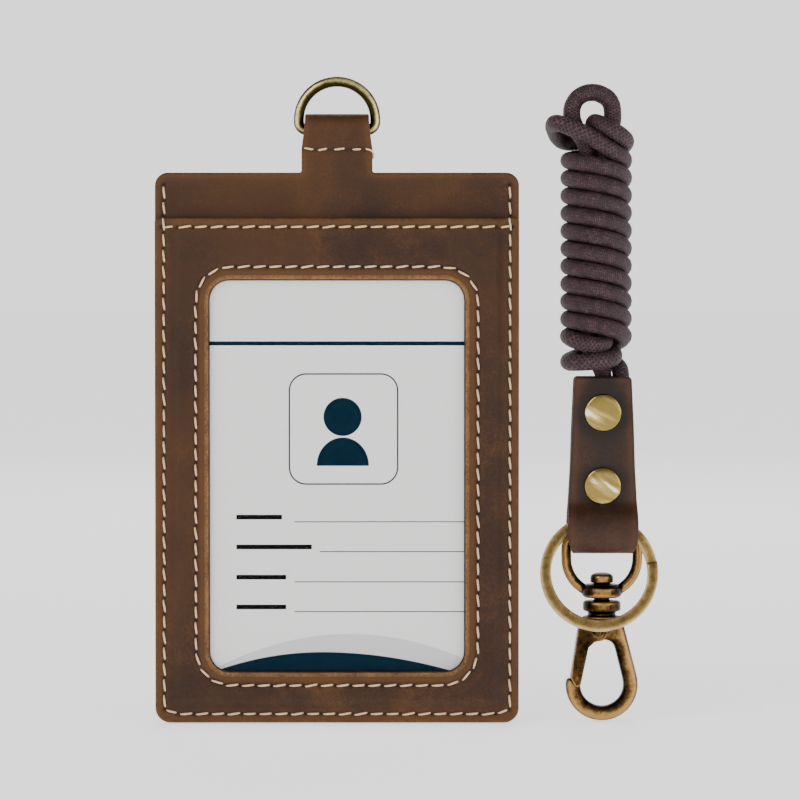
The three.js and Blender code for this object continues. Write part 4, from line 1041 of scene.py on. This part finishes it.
# painted reflection: the near-white top of this ramp paints glinting streaks along the brushing
t.ramp(brushing_and_glint * 0.8 + t.noise(at, 2400, 3, 0.7) * 0.2,
       (0.42, "8c7741"), (0.53, "b0995a"), (0.56, "c2aa6c"), (0.6, "fff2d0")).feed("Base Color")
(brushing_and_glint * 0.2 + 0.08).feed("Roughness")
brushing_and_glint.emboss(0.25, 0.0003)
for level, rivet_z, face in (("upper", UPPER_RIVET_Z, 3.6), ("lower", LOWER_RIVET_Z, 2.4)):
    for end, sign, shank_r, head_r, rise, lip in (("cap", -1, 1.4, RIVET_CAP_R, 1, 0.25),
                                                  ("post", 1, 0.9, RIVET_POST_R, 0.78, 0.22)):
        node_name = level + "_rivet_" + end
        profile = [(0, sign * (face - 0.3)), (shank_r, sign * (face - 0.3)), (shank_r, sign * face),
                   *dome(head_r, sign * face, rise, sign, lip)]
        rivet = piece(node_name + "_look", turned(profile, LANYARD_X, LANYARD_Z + rivet_z), "lanyard",
                      rivet_finish)
        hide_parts(node_name)

# The split ring: flat hardened wire rolled twice round, the second turn lying behind the first, its two blunt
# ends at the right; it leans forward out of the tab's fold.
SPLIT_R = 11.5
SPLIT_HALF_W = 1.15
SPLIT_HALF_T = 0.475
SPLIT_EDGE_R = 0.28
SPLIT_STAND = 0.625
SPLIT_START = 11
SPLIT_SWEEP = 686
SPLIT_STEPS = 343
SPLIT_CROSS = 329
SPLIT_CROSS_RUN = 29
SPLIT_END_RUN = 4
SPLIT_END_THIN = 0.35
SPLIT_LEAN = math.radians(14)
SPLIT_AT = Vector((-0.8, -1.3, -30.9))
ring_bronze = aged_metal("ring_bronze", "3d2e15", "947a49", "d6b981", 0.26, (2.4, 2.4, 2.4), 0.5)
flat_section = cut_line(block(SPLIT_HALF_W, -SPLIT_HALF_T, SPLIT_HALF_T, SPLIT_EDGE_R, SPLIT_EDGE_R),
                        0, (3, 1, 3, 1), 3)
split = bmesh.new()
rubs = split.verts.layers.float.new("wear_and_painted_light")
leaning = (Matrix.Translation(SPLIT_AT + Vector((LANYARD_X, 0, LANYARD_Z)))
           @ Matrix.Rotation(-SPLIT_LEAN, 4, "X") @ Matrix.Translation((0, 0, -SPLIT_R)))
hoops = []
for k in range(SPLIT_STEPS + 1):
    gone = SPLIT_SWEEP * k / SPLIT_STEPS
    angle = math.radians(SPLIT_START - gone)
    lift = -SPLIT_STAND + 2 * SPLIT_STAND * ease((gone - SPLIT_CROSS) / SPLIT_CROSS_RUN)
    thin = 1 - SPLIT_END_THIN * (1 - ease(min(gone, SPLIT_SWEEP - gone) / SPLIT_END_RUN))
    hoop = []
    for p in flat_section:
        r = SPLIT_R + p.x
        at = leaning @ Vector((r * math.cos(angle), lift + p.y * thin, r * math.sin(angle)))
        knot = split.verts.new(at * MM)
        knot[rubs] = 0.5 * (p.x / SPLIT_HALF_W) ** 2 - 0.1
        hoop.append(knot)
    hoops.append(hoop)
join(split, hoops)
split.faces.new(hoops[0])
split.faces.new(hoops[-1])
split_ring = piece("split_ring_look", mesh_from(split, closed=True), "split_ring_body", ring_bronze)
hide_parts("split_ring")

# The swivel: a wire eye cast on to its collar, and through the collar the hook's post. The hook, its nose and
# the sheet gate are cast or pressed with soft edges, darkened all over and rubbed bright on the high places;
# they and the eye also carry a painted highlight where they face forward or back and outward.
EYE_R = 7.65
EYE_Y = 1.3
EYE_BAR_Z = -34.6
EYE_CORNER_R = 2.4
EYE_CENTRE_Z = -39.3
COLLAR_R = 4.25
COLLAR_TOP = -44.8
COLLAR_FOOT = -47.7
COLLAR_BORE = 2
BOW_CENTRE_Z = -126
BAR_TOP = -115
BAR_ROUNDS = 70
BAR_GIVEN_BACK = 0.3
PROUD_ROUNDS = 10
PROUD_SHARE = 7
HIGHLIGHT_SHARE = 0.95


def cast(source, grain_size, rounds, centre_z, brightness, round_below=None):
    """A casting: one skin over the parts of the source mesh, its edges softened and its bars below a height
    made round. How bright each point is gets kept for the finish: rubbed wear where it stands proud, and a
    painted highlight where it faces forward or back and away from the middle of the casting's loop."""
    former = add("casting", source)
    skin = former.modifiers.new("skin", "REMESH")
    skin.mode = "VOXEL"
    skin.voxel_size = grain_size * MM
    soft = former.modifiers.new("soft", "SMOOTH")
    soft.factor = 0.5
    soft.iterations = rounds
    mesh = baked(former)
    shape = bmesh.new()
    shape.from_mesh(mesh)
    if round_below:
        bar = [knot for knot in shape.verts if knot.co.z < round_below * MM]
        for _ in range(BAR_ROUNDS):
            bmesh.ops.smooth_vert(shape, verts=bar, factor=0.5, use_axis_x=True, use_axis_y=True,
                                  use_axis_z=True)
        shape.normal_update()
        for knot in bar:
            knot.co += knot.normal * BAR_GIVEN_BACK * MM * ease(round_below - knot.co.z / MM)
        shape.normal_update()
    proud = {}
    for knot in shape.verts:
        around = [edge.other_vert(knot).co for edge in knot.link_edges]
        middle = sum(around, Vector()) / len(around)
        proud[knot.index] = (knot.co - middle).dot(knot.normal) / (grain_size * MM)
    for _ in range(PROUD_ROUNDS):
        proud = {knot.index: 0.4 * proud[knot.index] + 0.6 * sum(proud[e.other_vert(knot).index]
                 for e in knot.link_edges) / len(knot.link_edges) for knot in shape.verts}
    wear_and_highlight = shape.verts.layers.float.new("wear_and_painted_light")
    for knot in shape.verts:
        # painted highlight where the casting faces forward or back and outward; the proud share is rubbed
        # wear
        faces = facing(knot, LANYARD_X, centre_z)
        knot[wear_and_highlight] = max(-0.8, min(0.6, PROUD_SHARE * proud[knot.index] + HIGHLIGHT_SHARE * faces ** 5 + brightness))
    shape.to_mesh(mesh)
    shape.free()
    return mesh


hook_bronze = aged_metal("hook_bronze", "150e07", "4d371d", "aa8450", 0.28)
eye_line = arcs((0, EYE_CENTRE_Z, EYE_R, -66, 0, 10),
                (EYE_R - EYE_CORNER_R, EYE_BAR_Z - EYE_CORNER_R, EYE_CORNER_R, 0, 90, 6),
                (-EYE_R + EYE_CORNER_R, EYE_BAR_Z - EYE_CORNER_R, EYE_CORNER_R, 90, 180, 6),
                (0, EYE_CENTRE_Z, EYE_R, 180, 246, 10))
collar = turned([(COLLAR_BORE, COLLAR_FOOT), (COLLAR_R - 0.5, COLLAR_FOOT), (COLLAR_R, COLLAR_FOOT + 0.5),
                 (COLLAR_R, COLLAR_TOP - 0.8), (COLLAR_R - 0.9, COLLAR_TOP), (COLLAR_BORE, COLLAR_TOP),
                 (COLLAR_BORE, COLLAR_FOOT)], 0, 0)
eye_parts = bmesh.new()
eye_parts.from_mesh(collar)
bmesh.ops.transform(eye_parts, verts=eye_parts.verts, matrix=Matrix.Translation(
    Vector((LANYARD_X, EYE_Y, LANYARD_Z)) * MM) @ Matrix.Rotation(math.pi / 2, 4, "X"))
eye_parts.from_mesh(bent_line([Vector((LANYARD_X + x, EYE_Y, LANYARD_Z + z)) * MM for x, z in eye_line],
                              WIRE_R * MM, 6))
eye_mesh = cast(mesh_from(eye_parts), 0.16, 5, LANYARD_Z + EYE_CENTRE_Z, -0.45)
swivel_eye = piece("swivel_eye_look", eye_mesh, "eye", hook_bronze)
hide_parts("swivel_eye")


def closed_copy(node_name):
    """A copy of a solid with its doubled corners merged."""
    shape = bmesh.new()
    shape.from_mesh(bpy.data.objects[node_name].data)
    bmesh.ops.remove_doubles(shape, verts=shape.verts, dist=1e-6)
    return mesh_from(shape)


hook_mesh = cast(closed_copy("hook_body"), 0.17, 8, BOW_CENTRE_Z, -0.5, BAR_TOP)
hook = piece("hook_body_look", hook_mesh, "hook", hook_bronze)
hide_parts("hook_body")
gate_mesh = cast(closed_copy("gate"), 0.12, 4, BOW_CENTRE_Z, -0.75)
gate_piece = piece("gate_look", gate_mesh, "gate_body", hook_bronze)
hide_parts("gate")
dress("gate_pin", hook_bronze)
dress("gate_spring", aged_metal("spring_steel", "4a4844", "8d8a84", "b9b6ae", 0.3))
